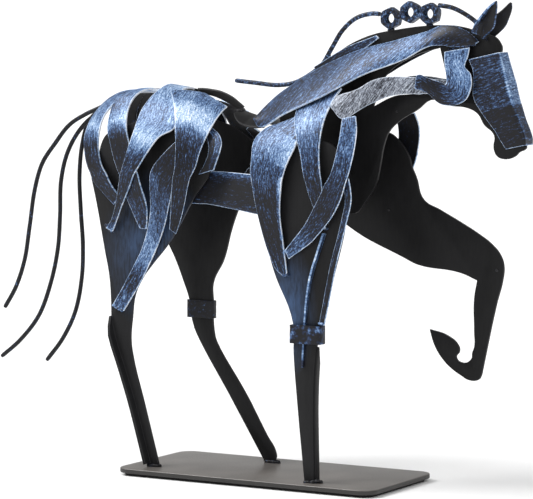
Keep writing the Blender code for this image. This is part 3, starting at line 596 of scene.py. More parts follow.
def outlined(name, outlines, thickness, middle, resolution=7):
    """A flat plate standing at y = middle, cut to drawn outlines."""
    data = bpy.data.curves.new(name, "CURVE")
    data.dimensions = "2D"
    data.fill_mode = "BOTH"
    data.extrude = thickness / 2
    data.resolution_u = resolution
    for outline in outlines:
        line = data.splines.new("BEZIER")
        line.use_cyclic_u = True
        line.bezier_points.add(len(outline) - 1)
        for knot, drawn in zip(line.bezier_points, outline):
            knot.co = (drawn[0] * MM, drawn[1] * MM, 0)
            kind = "VECTOR" if len(drawn) > 2 else "AUTO"
            knot.handle_left_type = knot.handle_right_type = kind
    piece = bpy.data.objects.new(name, data)
    bpy.context.scene.collection.objects.link(piece)
    choose(piece)
    bpy.ops.object.convert(target="MESH")
    piece = bpy.context.object
    piece.matrix_world = (Matrix.Translation((0, middle, BASE_TOP))
                          @ Matrix.Rotation(pi / 2, 4, "X"))
    settle(piece)
    bpy.ops.object.mode_set(mode="EDIT")
    bpy.ops.mesh.select_all(action="SELECT")
    bpy.ops.mesh.remove_doubles(threshold=1e-6)
    bpy.ops.mesh.dissolve_limited(angle_limit=radians(0.4))
    bpy.ops.mesh.normals_make_consistent(inside=False)
    bpy.ops.object.mode_set(mode="OBJECT")
    return piece


def folded(plate, line, middle, reach, thickness):
    """Adds the folded edge of a leg: a flange along the drawn line, reach out of its plane."""
    deselect()
    count = 16
    bpy.ops.mesh.primitive_grid_add(x_subdivisions=1, y_subdivisions=count, size=2.0)
    flange = bpy.context.object
    drawn = [Vector((x, 0, z)) for x, z in line]
    for vert in flange.data.vertices:
        here = spline(drawn, (vert.co.y + 1) / 2)
        share = (vert.co.y + 1) / 2
        away = reach * min(1.0, 0.35 + 5 * share) if vert.co.x > 0 else 0.0
        vert.co = at(here.x, here.z) + Vector((0, middle + away, 0))
    apply_modifier(flange, "SOLIDIFY", thickness=thickness, offset=0.0)
    choose(flange)
    bpy.ops.object.mode_set(mode="EDIT")
    bpy.ops.mesh.select_all(action="SELECT")
    bpy.ops.mesh.normals_make_consistent(inside=False)
    bpy.ops.object.mode_set(mode="OBJECT")
    apply_modifier(plate, "BOOLEAN", object=flange, operation="UNION", solver="EXACT")
    bpy.data.objects.remove(flange, do_unlink=True)
    choose(plate)
    bpy.ops.object.mode_set(mode="EDIT")
    bpy.ops.mesh.select_all(action="SELECT")
    bpy.ops.mesh.remove_doubles(threshold=2e-6)
    bpy.ops.mesh.dissolve_limited(angle_limit=radians(0.4))
    bpy.ops.object.mode_set(mode="OBJECT")


def finish_plate(piece, node, face="satin", edge="worn", slot="satin_black"):
    sizes = bpy.context.scene.horse_sizes
    piece.data.materials.clear()
    for skin in (face, edge):
        piece.data.materials.append(MATERIALS[skin])
    # The bevelled edges take the second, much lighter material: partly wear, partly a painted highlight.
    apply_modifier(piece, "BEVEL", width=sizes.edge, segments=2, limit_method="ANGLE",
                   angle_limit=radians(50), material=1, use_clamp_overlap=True)
    smooth(piece)
    return hand_over(piece, slot, node)


def rod(name, points, offset, material, slot, taper=1.0):
    """A round bar bent through drawn (x, z) points, its cut ends a little rounded."""
    sizes = bpy.context.scene.horse_sizes
    line = [Vector((x, 0, z)) for x, z in points]
    deselect()
    data = bpy.data.curves.new(name, "CURVE")
    data.dimensions = "3D"
    data.bevel_depth = sizes.rod / 2
    data.bevel_resolution = 4
    data.use_fill_caps = True
    path = data.splines.new("POLY")
    count = 110
    path.points.add(count)
    for i, knot in enumerate(path.points):
        here = spline(line, i / count)
        knot.co = (*(at(here.x, here.z) + Vector((0, offset, 0))), 1)
        lip = min(i, count - i)
        knot.radius = 0.82 if lip == 0 else 1.0
        knot.radius *= 1 + 0.03 * noise.noise(Vector((i * 0.21, offset * 900, 0)))
    piece = bpy.data.objects.new(name + "_bar", data)
    bpy.context.scene.collection.objects.link(piece)
    choose(piece)
    bpy.ops.object.convert(target="MESH")
    piece = bpy.context.object
    bpy.ops.object.mode_set(mode="EDIT")
    bpy.ops.mesh.select_all(action="SELECT")
    bpy.ops.mesh.remove_doubles(threshold=1e-6)
    bpy.ops.mesh.normals_make_consistent(inside=False)
    bpy.ops.object.mode_set(mode="OBJECT")
    piece.data.materials.clear()
    piece.data.materials.append(MATERIALS[material])
    smooth(piece, 50)
    return hand_over(piece, slot, name)


# ---------------------------------------------------------------- drawn outlines

FOOT = 0.3
NEAR_HIND = [
    (-62, FOOT, 1), (-56.5, FOOT, 1), (-65.2, 31), (-72.8, 58), (-73.7, 65), (-72.7, 77),
    (-70.8, 89), (-66, 98), (-61.6, 103.5), (-50, 116.6), (-43, 127), (-36.7, 137.4),
    (-26.5, 150.4, 1), (-24.5, 160), (-25.5, 166), (-31, 171.5), (-40, 176.2), (-50, 178.6),
    (-60, 179.6), (-70, 178.3), (-80, 174), (-85.5, 172.8), (-89, 170.4), (-91.3, 166.4), (-93.6, 158), (-97.6, 148.4, 1),
    (-94.5, 136), (-89.4, 111), (-86.7, 98), (-85.7, 85), (-85.6, 78.5), (-85.4, 73),
    (-83.6, 65.8), (-77.9, 50.4),
    (-71.8, 33)]
FAR_HIND = [
    (-17, FOOT, 1), (-12.3, FOOT, 1), (-10.3, 2.4), (-10.8, 6.4), (-15.9, 14.2), (-21.2, 23.1), (-27.4, 33.5), (-46.1, 61), (-47.6, 65),
    (-48.5, 83.5), (-48.5, 92.5), (-42, 105), (-36.9, 122), (-32.6, 133, 1), (-26, 148),
    (-24.3, 158), (-23.4, 164.5), (-25.6, 168.6), (-30.5, 172.2), (-40, 176.4), (-50, 178.6),
    (-60, 179.6),
    (-70, 178.3), (-80, 174), (-87, 168.5), (-91.5, 161), (-94, 149), (-91, 138), (-84.3, 126), (-76.2, 112.5), (-71.4, 103.7), (-66.9, 93.3), (-63, 83), (-61.3, 72.3), (-58.7, 66), (-37.4, 33)]
NEAR_FORE = [
    (33.3, FOOT, 1), (38.8, FOOT, 1), (38.4, 20), (38.2, 40), (38.8, 56), (40.1, 69), (43.5, 82), (50, 106), (56, 130), (57.5, 148),
    (56, 160), (51, 167.5), (43, 171), (33, 170.5), (23, 167), (14.5, 161), (10.5, 150),
    (9.6, 140), (10.4, 124), (15.4, 106), (26.6, 80),
    (27, 65), (29.1, 40)]
FAR_FORE = [
    (64.2, 161), (65.2, 157.3), (68, 151), (72, 140.2), (81.3, 135.3), (93, 129.4), (103.7,
     123.5), (110.4, 119), (115.2, 113.8), (117.2, 108.4), (116.8, 102), (113.2, 88.6), (105.3, 53, 1), (103.8, 50.5), 
      (98.4, 49.8), (94, 51.8), (89.1, 54.7), (84, 59), (78.9, 66.2), (76, 74.4, 1), (86, 71.8), (92.2, 67), (92.8, 64),
    (91.1, 61), (94.5, 58.5), (99.5, 60.7), (100, 63.8), (101.1, 67), (101, 75), (100.9, 91.3),
     (102.5, 100.4, 1), (93, 103.8), (69, 106.9), (61.4, 110), (28.4, 125.4),
    (14, 138), (11, 150), (15, 161), (26, 168), (37, 171.2), (45, 173.2), (52.4, 173.4), (57, 170.6), (61.3, 166.2)]
NECK = [
    (33, 210.5), (40, 216), (50.5, 221.2), (60, 224.1), (69.2, 225.6), (78, 226.9), (86, 227.7), 
     (94, 228.1), (104, 227.6), (111, 226.2), (117, 223.9), (120.4, 223.7), (122.6, 223.1), (124.6, 222.3), (126.8,
    220), (128.1, 217), (127, 212.4, 1), (129.4, 204), (134, 188), (137, 178, 1),
    (139.8, 171.4, 1), (141.5, 169.2), (140.6, 167.9), (137.9, 166.7), (135.7, 164.7),
    (132.5, 163.3), (129.3, 163.1), (126.1, 164.2), (124.2, 167.2), (123.9, 169.8),
    (124.4, 173.3), (123.6, 175.5), (118.8, 179.5), (115.3, 184.8), (109.5, 187.6), (100, 188.6), (90, 191.3), (82, 186.2),
    (72.6, 180.8), (66.5, 175.3), (63.7, 169), (61.5, 158.5), (59.6, 150.2), (54.2, 141.2),
    (45.5, 133.5), (37, 140), (27, 153), (16, 167), (4, 176, 1), (4, 187.5, 1), (20, 200)]
NECK_WINDOW = [
    (64, 202.5), (80, 212.8), (94.6, 217, 1), (98.5, 201.7, 1), (86, 194.4), (76.4, 193.8),
    (69.7, 193), (57.4, 187.5, 1)]
HIND_PLANE, FORE_PLANE = 0.0204, 0.0265
FLANGE, FORE_FLANGE = 0.0055, 0.0038

SECOND = {
    NEAR: [(-76, 193.9), (-86.3, 188.6), (-87.5, 180.4), (-86.8, 174), (-83.8, 167.3),
           (-75.8, 151), (-71, 138), (-65.7, 123.8)],
    FAR: [(-76, 193.9), (-90.5, 189.2), (-94, 181), (-92.5, 173.6), (-88, 165), (-79, 151),
          (-73, 138), (-66.5, 123.8)]}
FRONT_RUMP = {
    NEAR: ([(-54.5, 190.8), (-47, 183.5)], [(-38.5, 189.8), (-35.5, 180.5)],
           [(-22.9, 184.4), (-24, 175.3)]),
    FAR: ([(-52, 187.4), (-46.5, 181.8)], [(-37.5, 185.4), (-35.2, 178.5)],
          [(-24.8, 181.6), (-24.9, 175)])}
BACK_TOP = [(-48, 195), (-41.9, 195), (-35.3, 194), (-30.8, 192.6), (-26.6, 190.6),
            (-22.9, 188.1), (-20, 185.9)]
BACK_LOW = [(-48.6, 191.9), (-44.7, 191.9), (-39.9, 190.9), (-35, 189), (-30.8, 187), (-27.2, 185),
            (-24.4, 183.6)]
LONG_STRIP = {
    NEAR: ([(-54.6, 153.4), (-56.3, 136), (-63.2, 117.6), (-75.7, 95.4), (-83.8, 83)],
           [(-41, 149.6), (-47.4, 131), (-56.6, 113), (-66.3, 96), (-77, 80)]),
    FAR: ([(-54.6, 153.4), (-57, 136), (-58.5, 120), (-59, 105), (-59, 90)],
          [(-41, 149.6), (-46, 131), (-49, 118), (-51, 104), (-52.5, 90)])}
REAR_SHOULDER = {
    NEAR: ([(4.4, 150.8), (7.5, 135.5), (12.3, 118.5), (16.8, 107.6), (21.5, 103.3)],
           [(24.5, 157.4), (22.1, 146.4), (21.2, 134), (22.3, 121.4), (24, 104.3)]),
    FAR: ([(6, 152), (12, 143), (18, 137.5)], [(25.5, 159), (23, 150), (21.5, 139)])}
CROSS_SHOULDER = {
    NEAR: ([(51.5, 154.7), (39.1, 133.5), (24.8, 116.9)],
           [(63.5, 165.8), (58.2, 145.5), (42.6, 123.9), (26.6, 112.4)]),
    FAR: ([(51.5, 157), (44, 144), (35, 133)], [(65.4, 164.5), (59, 150), (50, 138), (38, 129.5)])}
FRONT_SHOULDER = {
    NEAR: ([(60.4, 153.2), (61.7, 142.7), (58.5, 130.3), (51.5, 107.8), (45.2, 80.2)],
           [(57.4, 152.4), (58.4, 142.7), (55.4, 130.2), (48.2, 107.7), (42.2, 80.2)]),
    FAR: ([(60.4, 150), (68, 140), (80, 132), (93, 123), (104, 114)],
          [(58, 146), (66, 136.5), (78, 128.5), (91, 120), (101.5, 111)])}
SADDLE = [(-19.2, 183.5), (-13.8, 179.6), (-9.8, 177.9), (-4, 177), (2.2, 177.2)]
THROAT_TOP = {
    NEAR: [(46, 189.5, 22.5), (49, 193, 21.5), (57.5, 196, 19)],
    FAR: [(47.5, 194.4, 20.8), (51, 196.6, 19.6), (57.5, 198.4, 17.5)]}
THROAT_LOW = {
    NEAR: [(46.5, 187.5, 23.5), (54, 181.9, 26), (58, 184, 24), (62, 187.4, 20), (66, 190, 16.5)],
    FAR: [(48.5, 193, 21.4), (53, 192.8, 21.2), (57, 193, 19.6), (62, 193.4, 17.6), (66, 193.6, 15.8)]}
FACE_SIDE = [(112.6, 211.5), (114.6, 206.5), (115.2, 201), (114.8, 196.6), (115.4, 192.3), (118.6, 187),
             (122.4, 182.2), (126.8, 176.9), (129.6, 172.6), (132.8, 168.2)]
FACE_FRONT = [(128.4, 215), (130, 209.5), (132.8, 201.5), (135.4, 192), (138.9, 182.2),
              (141.3, 176), (142.2, 173), (142.2, 170.2)]
FIN = [(45.3, 125.5, 2.9), (42.2, 116.5, 2.9), (38.1, 104.6, 2.68), (35.4, 92.8, 1.96),
       (33.9, 79.4, 1.3), (32.6, 58, 1.16)]
NUTS = ((67.2, 231.4, 0.1), (78, 234.4, -0.1), (88.8, 233.6, 0.15))

# Weld beads: name, radius in mm, finish, and the drawn (x, z, y) run of each.
WELDS = [
    ("near_hind_foot", 1.0, "faint", [(-62.3, 0.6, -22.2), (-57.5, 0.6, -21.9), (-56.2, 0.5, -20.6)]),
    ("near_hind_foot_inner", 0.9, "faint", [(-62, 0.5, -19.4), (-57.2, 0.5, -19.4)]),
    ("far_hind_foot", 1.0, "faint", [(-16, 0.5, 19.4), (-11, 0.6, 19.3), (-8.8, 0.5, 20.2)]),
    ("far_hind_foot_outer", 0.9, "faint", [(-16.2, 0.5, 22), (-11, 0.5, 21.8)]),
    ("near_fore_foot", 1.1, "faint", [(37.8, 0.5, -27.6), (40.5, 1.2, -26.6), (41.6, 0.5, -25.2)]),
    ("near_fore_foot_rear", 0.9, "faint", [(33.8, 0.4, -27.6), (36, 0.4, -27.6)]),
    ("near_fore_foot_inner", 0.9, "faint", [(34.4, 0.5, -25.4), (38, 0.5, -25.2)]),
    ("flank_near", 1.1, "dabbed", [(6.2, 151.2, -29.2), (5.6, 148, -29.5), (6.3, 144.3, -29.6)]),
    ("flank_far", 1.0, "dabbed", [(6.2, 151.2, 29.2), (5.8, 147, 29.4), (6.6, 140.3, 29.4)]),
    ("cross_end", 1.1, "dabbed", [(23.4, 115.6, -28.8), (25, 113.4, -28.6)]),
    ("throat_tip", 1.2, "dabbed", [(55.8, 181.6, -25.4), (58.6, 181.2, -25)]),
    ("throat_tip_far", 1.2, "dabbed", [(55.8, 181.6, 25.4), (58.6, 181.2, 25)]),
    ("saddle_rear", 1.0, "worn", [(-19.4, 184, -3), (-18.8, 184.3, 0)]),
    ("back_foot", 0.9, "worn", [(-20.4, 184.4, 4.4), (-21.6, 183.6, 7)]),
    ("back_head", 0.9, "satin", [(-49.4, 194.2, 4.6), (-49.8, 192.4, 7.6)]),
    ("croup_end_near", 1.2, "thin", [(-87, 124.3, -22.9), (-84, 121.8, -22.9)]),
    ("croup_end_far", 1.2, "dabbed", [(-87, 124.3, 22.9), (-84, 121.8, 22.9)]),
    ("cheek_near", 1.0, "navy", [(102, 215.9, -4.6), (107, 217, -4.4), (111.5, 217.6, -4.4)]),
    ("cheek_far", 1.0, "navy", [(102, 215.9, 4.6), (107, 217, 4.4), (111.5, 217.6, 4.4)]),
    ("ear_near", 0.8, "navy", [(119.4, 222.2, -4.6), (120.6, 221.9, -3), (120.2, 221.6, -1.5)]),
    ("ear_far", 0.8, "navy", [(119.4, 222.2, 4.6), (120.6, 221.9, 3), (120.2, 221.6, 1.5)]),
    ("nut_join_rear", 0.9, "thin", [(72.5, 232, -1.5), (72.5, 233.6, 0), (72.6, 232.4, 1.5)]),
    ("nut_join_front", 0.9, "thin", [(83.4, 233, -1.5), (83.4, 234.6, 0), (83.4, 233.2, 1.5)]),
    ("nut_seat_rear", 0.8, "faint", [(66, 225.4, 0), (68.2, 225.8, 0)]),
    
    ("nut_seat_front", 0.8, "faint", [(87.4, 228.2, 0), (89.8, 228, 0)]),
    ("mane_rod_foot", 0.8, "navy", [(31.4, 213.4, 0), (33, 211.4, 0.2)]),
    ("crest_near", 0.7, "satin", [(52, 220.6, -1.3), (58, 222.6, -1.3)]),
    ("crest_far", 0.7, "satin", [(52, 220.6, 1.3), (58, 222.6, 1.3)]),
    ("dock", 1.3, "faint", [(-94, 189.2, -1.6), (-96.4, 188, 0), (-97.6, 186.9, 1.8)]),
    ("neck_stud", 0.55, "worn", [(70.7, 185.3, -0.8), (70.9, 185.2, -0.8)]),
    ("thigh_stud", 0.55, "worn", [(52.5, 134.1, 25.7), (52.7, 134, 25.7)]),
    ("knee_stud", 0.7, "worn", [(113.4, 106, 25.7), (113.7, 105.8, 25.7)]),
    ("long_end", 0.8, "dabbed", [(-83.4, 82.6, -22), (-80.6, 81.2, -22), (-77.8, 80.2, -22)]),
    ("front_end", 0.8, "dabbed", [(42.4, 80.4, -28.2), (44.8, 80.4, -28.2)]),
    ("rear_shoulder_end", 0.9, "thin", [(21.8, 103.6, -28.2), (24, 104, -28.2)]),
    ("middle_end", 0.9, "dabbed", [(44.8, 128, -29), (46.6, 127.9, -29)]),
]


# ---------------------------------------------------------------- operators

class Make:
    """What the operators share."""
    bl_options = {"REGISTER", "UNDO"}

    def execute(self, context):
        self.build(context)
        return {"FINISHED"}


class HORSE_OT_base(Make, bpy.types.Operator):
    """Base plate with rounded corners and a softened rim, on its rubber pad"""
    bl_idname = "horse.base"
    bl_label = "Base plate"

    def build(self, context):
        for node, corner, skins, slot in (
                ("base_plate", 0.008, ("base", "base_edge"), "base_black"),
                ("base_pad", 0.006, ("rubber", "rubber"), "pad_rubber")):
            low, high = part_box(node)
            size, centre = high - low, (low + high) / 2
            deselect()
            bpy.ops.mesh.primitive_cube_add(size=1.0, location=centre)
            piece = context.object
            piece.name = node + "_finished"
            piece.scale = size
            settle(piece)
            bpy.ops.object.mode_set(mode="EDIT")
            round_uprights(piece, corner, 14)
            bpy.ops.object.mode_set(mode="OBJECT")
            for skin in skins:
                piece.data.materials.append(MATERIALS[skin])
            apply_modifier(piece, "BEVEL", width=size.z * 0.22, segments=4, limit_method="ANGLE",
                           angle_limit=radians(50))
            # Faces that do not face up take the darker copy, so only the top shows the painted reflection.
            if node == "base_plate":
                for face in piece.data.polygons:
                    if face.normal.z < 0.5:
                        face.material_index = 1
            smooth(piece)
            hand_over(piece, slot, node)


class HORSE_OT_legs(Make, bpy.types.Operator):
    """Four flat legs, three of them with a folded front or rear edge"""
    bl_idname = "horse.legs"
    bl_label = "Leg plates"

    def build(self, context):
        thick = context.scene.horse_sizes.plate
        near_hind = outlined("near_hind_leg_finished", [NEAR_HIND], thick, -HIND_PLANE)
        folded(near_hind, [(-85.5, 77), (-85.4, 73), (-83.6, 65.8), (-77.9, 50.4), (-71.8, 33),
         (-62.4, 1.4)], -HIND_PLANE,
               -FLANGE, thick)
        finish_plate(near_hind, "near_hind_leg", "hind")
        far_hind = outlined("far_hind_leg_finished", [FAR_HIND], thick, HIND_PLANE)
        folded(far_hind, [(-60.1, 69), (-58.7, 66), (-37.4, 33), (-17.3, 1.4)], HIND_PLANE, FLANGE,
               thick)
        finish_plate(far_hind, "far_hind_leg")
        near_fore = outlined("near_fore_leg_finished", [NEAR_FORE], thick, -FORE_PLANE)
        folded(near_fore, [(40, 68.4), (38.8, 56), (38.2, 40), (38.4, 20), (38.8, FOOT)],
               -FORE_PLANE, FORE_FLANGE, thick)
        finish_plate(near_fore, "near_fore_leg", "fore")
        far_fore = outlined("far_fore_leg_finished", [FAR_FORE], thick, FORE_PLANE)
        finish_plate(far_fore, "far_fore_leg")


class HORSE_OT_neck(Make, bpy.types.Operator):
    """The flat silhouette of breast, neck and head with its window"""
    bl_idname = "horse.neck"
    bl_label = "Neck and head plate"

    def build(self, context):
        piece = outlined("head_neck_plate_finished", [NECK, NECK_WINDOW],
                         context.scene.horse_sizes.plate, 0.0)
        finish_plate(piece, "head_neck_plate")


class HORSE_OT_rump(Make, bpy.types.Operator):
    """Strips bent over the croup and down the hind legs"""
    bl_idname = "horse.rump"
    bl_label = "Rump strips"

    def build(self, context):
        for side, word in SIDES:
            strip(word + "_rump_strip_rear", RUMP, [
                (-1.4, 0, [(-66, 194.4), (-83, 194.8), (-96.8, 189.6), (-103.2, 181.4), (-105,
                 173.4), (-103.8, 165.2), (-97, 150.4), (-88, 141.2), (-81, 135.5)]),
                (-1.4, 0, [(-72, 194.4), (-84.7, 192), (-88.2, 188.4), (-93.1, 180.4), (-93.8, 174), (-93, 165.6), (-89.8, 156), (-83.6, 147.3),
                           (-77, 140)])],
                  [(0, 0.66), (0.2, 0.52), (0.34, 0.46), (0.42, 0.5), (0.47, 0.66), (0.53, 0.4),
                   (0.6, 0.14), (1, 0.06)], side)
            strip(word + "_rump_strip_second", RUMP, [
                (0.2, 0, SECOND[side]),
                (0.2, 0, [(-65, 194.2), (-73.2, 192.8), (-75.8, 185.6), (-74.3, 176), (-70.7, 167.4), (-62.7, 149), (-59.4, 135.7), (-61.4, 123.5)])],
                  [(0, 0.66), (0.12, 0.5), (0.24, 0.46), (0.31, 0.72), (0.38, 0.4), (0.44, 0.06),
                   (0.75, 0.04), (0.86, 0.24), (1, 0.2)], side)
            rear, middle, front = FRONT_RUMP[side]
            strip(word + "_rump_strip_front", RUMP, [
                (2.5, 2, rear + [(-42.6, 174), (-40.3, 166), (-39.8, 154.5),
                          (-42.5, 138.6), (-45.8, 125)]),
                (1.8, 1.5, middle + [(-33.7, 171.5), (-33.4, 162.5), (-34.6, 150), (-38.8, 136), (-44.2, 123.5)]),
                (1, 1, front + [(-27, 163.3), (-29, 155.2), (-33.8, 143.5),
                        (-38, 132), (-43.2, 122)])],
                  [(0, 0.48), (0.1, 0.54), (0.17, 0.78), (0.27, 0.8), (0.33, 0.46), (0.42, 0.22),
                   (0.6, 0.1), (1, 0.03)], side, columns=12)
            upper, lower = LONG_STRIP[side]
            strip(word + "_rump_strip_long", RUMP, [
                (1, 0, [(-40.8, 168.6), (-47, 162.8)] + upper),
                (1, 0, [(-37, 164.3), (-39.5, 157)] + lower)],
                  [(0, 0.03), (0.16, 0.1), (0.26, 0.3), (0.45, 0.34), (0.56, 0.54), (0.7, 0.56),
                   (0.78, 0.3), (0.86, 0.2), (0.93, 0.34), (1, 0.38)], side)
            strip(word + "_flank_rib", RUMP, [
                (-1, -1, [(-25, 176.4), (-20.3, 173.4), (-17.5, 169.4), (-17.2, 164.3),
                          (-19.4, 155)]),
                (-1, -1, [(-28.5, 174.5), (-25.5, 170.2), (-23.5, 164.2), (-25, 158),
                          (-28, 152.5)])],
                  lambda u, v: level([(0, 0.3), (0.4, 0.4), (1, 0.16)], u) - (0.34 if v > 0.5 else 0.0),
                  side, rows=30)
        strip("croup_strip", RUMP, [
            (1.3, 1, [(-62.5, 192.5), (-64.5, 188), (-65.8, 183.8), (-67.5, 173.6), (-71.3, 158.6),
                      (-76, 143.2), (-82, 128.2), (-86.2, 123.2)]),
            (1.3, 1, [(-50.5, 191.9), (-46.5, 186), (-43.8, 174.7), (-51.4, 170), (-57.4, 162),
                      (-66.6, 148.3), (-75.4, 133.7), (-82, 121.6)])],
              [(0, 0.7), (0.16, 0.66), (0.28, 0.52), (0.36, 0.56), (0.44, 0.8), (0.5, 0.52),
               (0.56, 0.18), (0.8, 0.05), (0.9, 0.12), (1, 0.36)],
              columns=12, over=True)


class HORSE_OT_back(Make, bpy.types.Operator):
    """Saddle sheet between croup and withers, and the bands along the flanks"""
    bl_idname = "horse.back"
    bl_label = "Saddle and flank bands"

    def build(self, context):
        edge = [Vector((x, 0, z)) for x, z in SADDLE]

        def saddle(u, v):
            here = spline(edge, u)
            reach = RUMP.turn(here.x, here.z)
            spot = RUMP.point(here.x, reach * (2 * v - 1), 0.5 - LAYER / MM)
            return at(spot.x, spot.z, spot.y)

        sheet("saddle_strip_finished", saddle, [(0, 0.1), (1, 0.14)], "satin_black",
              ["saddle_strip"], 24, 30, skins=("satin", "satin", "worn"))
        ribbon("back_strip", [[(x, z, 4) for x, z in BACK_TOP], [(x, z, 9) for x, z in BACK_LOW]],
               [(0, 0.1), (1, 0.1)], FAR, columns=4, skins=("satin", "satin", "worn"),
               slot="satin_black")
        for side, word in SIDES:
            ribbon(word + "_flank_band", [
                [(-26, 153.8, 18.35), (-20, 153.9, 19.6), (-8, 153.8, 24.5), (6, 153.4, 28.6)],
                [(-38.5, 137, 18.35), (-29, 137, 18.8), (-13, 135.8, 23.8), (8, 133.4, 28.6)]],
                   lambda u, v: 0.44 - 1.3 * v if v < 0.3 else 0.0 + 0.08 * (v > 0.8), side)


class HORSE_OT_shoulder(Make, bpy.types.Operator):
    """Strips laid over the shoulders and down the fore legs"""
    bl_idname = "horse.shoulder"
    bl_label = "Shoulder strips"

    def build(self, context):
        for side, word in SIDES:
            upper, lower = REAR_SHOULDER[side]
            strip(word + "_shoulder_strip_rear", SHOULDER, [
                (0, 0, [(26.5, 183), (16.3, 179), (7.3, 176), (2.6, 170.2), (3.3, 162.2)] + upper),
                (0, 0, [(30, 180.5), (29.8, 174.5), (29, 168.8)] + lower)],
                  lambda u, v: level([(0, 0.55), (0.1, 0.42), (0.2, 0.46), (0.3, 0.4),
                                      (0.46, 0.3), (0.56, 0.06), (0.8, 0.02), (1, 0.26)], u)
                  + (0.34 * v * v if 0.14 < u < 0.34 else 0.0) + (0.35 if u > 0.4 and v > 0.86 else 0),
                  side, columns=14)
            strip(word + "_shoulder_strip_middle", SHOULDER, [
                (1.3, 0, [(23.5, 185.5), (26.4, 177.6), (33.2, 163), (37, 149.5), (41.7, 136.2),
                          (45, 127.8)]),
                (1.3, 0, [(48, 195), (43.8, 181.5), (43.2, 170), (44.5, 156.6), (46.2, 142.3),
                          (46.8, 127.9)])],
                  [(0, 0.3), (0.12, 0.5), (0.22, 0.62), (0.34, 0.42), (0.6, 0.26), (0.8, 0.1),
                   (1, 0.1)], side, columns=12)
            upper, lower = CROSS_SHOULDER[side]
            wider = 3.3 if side == FAR else 0
            strip(word + "_shoulder_strip_cross", SHOULDER, [
                (2, 1.6, [(55.5, 181), (55.3, 172)] + upper),
                (2, 1.6, [(62.5 + wider, 182.5), (64 + wider, 176)] + lower)],
                  [(0, 0.34), (0.1, 0.46), (0.25, 0.42), (0.4, 0.22), (0.6, 0.08), (0.78, 0.18),
                   (0.86, 0.4), (1, 0.34)], side)
            upper, lower = FRONT_SHOULDER[side]
            strip(word + "_shoulder_strip_front", SHOULDER, [(0, 0, upper), (0, 0, lower)],
                  [(0, 0.14), (0.3, 0.3), (0.5, 0.1), (1, 0.04)], side, columns=4)


class HORSE_OT_neck_strips(Make, bpy.types.Operator):
    """Crest, mane and throat strips on both sides of the neck plate"""
    bl_idname = "horse.neck_strips"
    bl_label = "Neck strips"

    def build(self, context):
        for side, word in SIDES:
            ribbon(word + "_crest_strip", [
                [(-3.3, 181.4, 12.5), (1, 186.4, 11), (8.5, 193.6, 8), (17.5, 199.6, 6), (26,
                 204.8, 4.6), (50, 214.9, 3.9),
                 (73, 220.7, 3), (89, 225, 2.6), (96.5, 227.6, 2.6), (105, 227, 2.6),
                 (111, 224.6, 2.6), (116.5, 220, 2.6)],
                [(-3, 180.3, 14.5), (1.5, 176.7, 17), (17, 183.6, 19.5), (40, 193.5, 19),
                 (58, 203.2, 14), (78.6, 212.6 if side == FAR else 211, 9), (92, 217.6, 8), (98.5, 218.3, 7), (104, 217.5, 6),
                 (115.5, 218.6, 3.6)]],
                   [(0, 0.2), (0.1, 0.3), (0.3, 0.34), (0.5, 0.38), (0.66, 0.46), (0.76, 0.5), (0.82, 0.34),
                    (0.88, 0.14), (1, 0.04)], side, bow=1.0, columns=12, rows=72,
                   skins=("slant", "inner", "rim"))
            ribbon(word + "_mane_strip", [
                [(24.5, 206.9, 2.1), (43, 216.9, 2.1), (60, 222.9, 2.1)],
                [(27, 204, 2.1), (46, 212, 2.1), (61.5, 221.6, 2.1)]],
                   [(0, 0.1), (0.5, 0.22), (1, 0.4)], side, rows=40, columns=4)
            ribbon(word + "_throat_strip", [
                THROAT_TOP[side] + [(65, 201, 14.5), (72, 202.6, 12), (83, 202.6, 9), (95, 201.5, 5),
                                    (101, 201, 3.5)],
                THROAT_LOW[side] + [(74, 193.4, 11.5), (90.5, 194.6, 6.5), (101, 194.5, 3.5)]],
                   [(0, 0.42), (0.3, 0.44), (0.7, 0.5), (1, 0.4)], side, bow=0.6, columns=10,
                   skins=("scratched", "inner", "rim"))


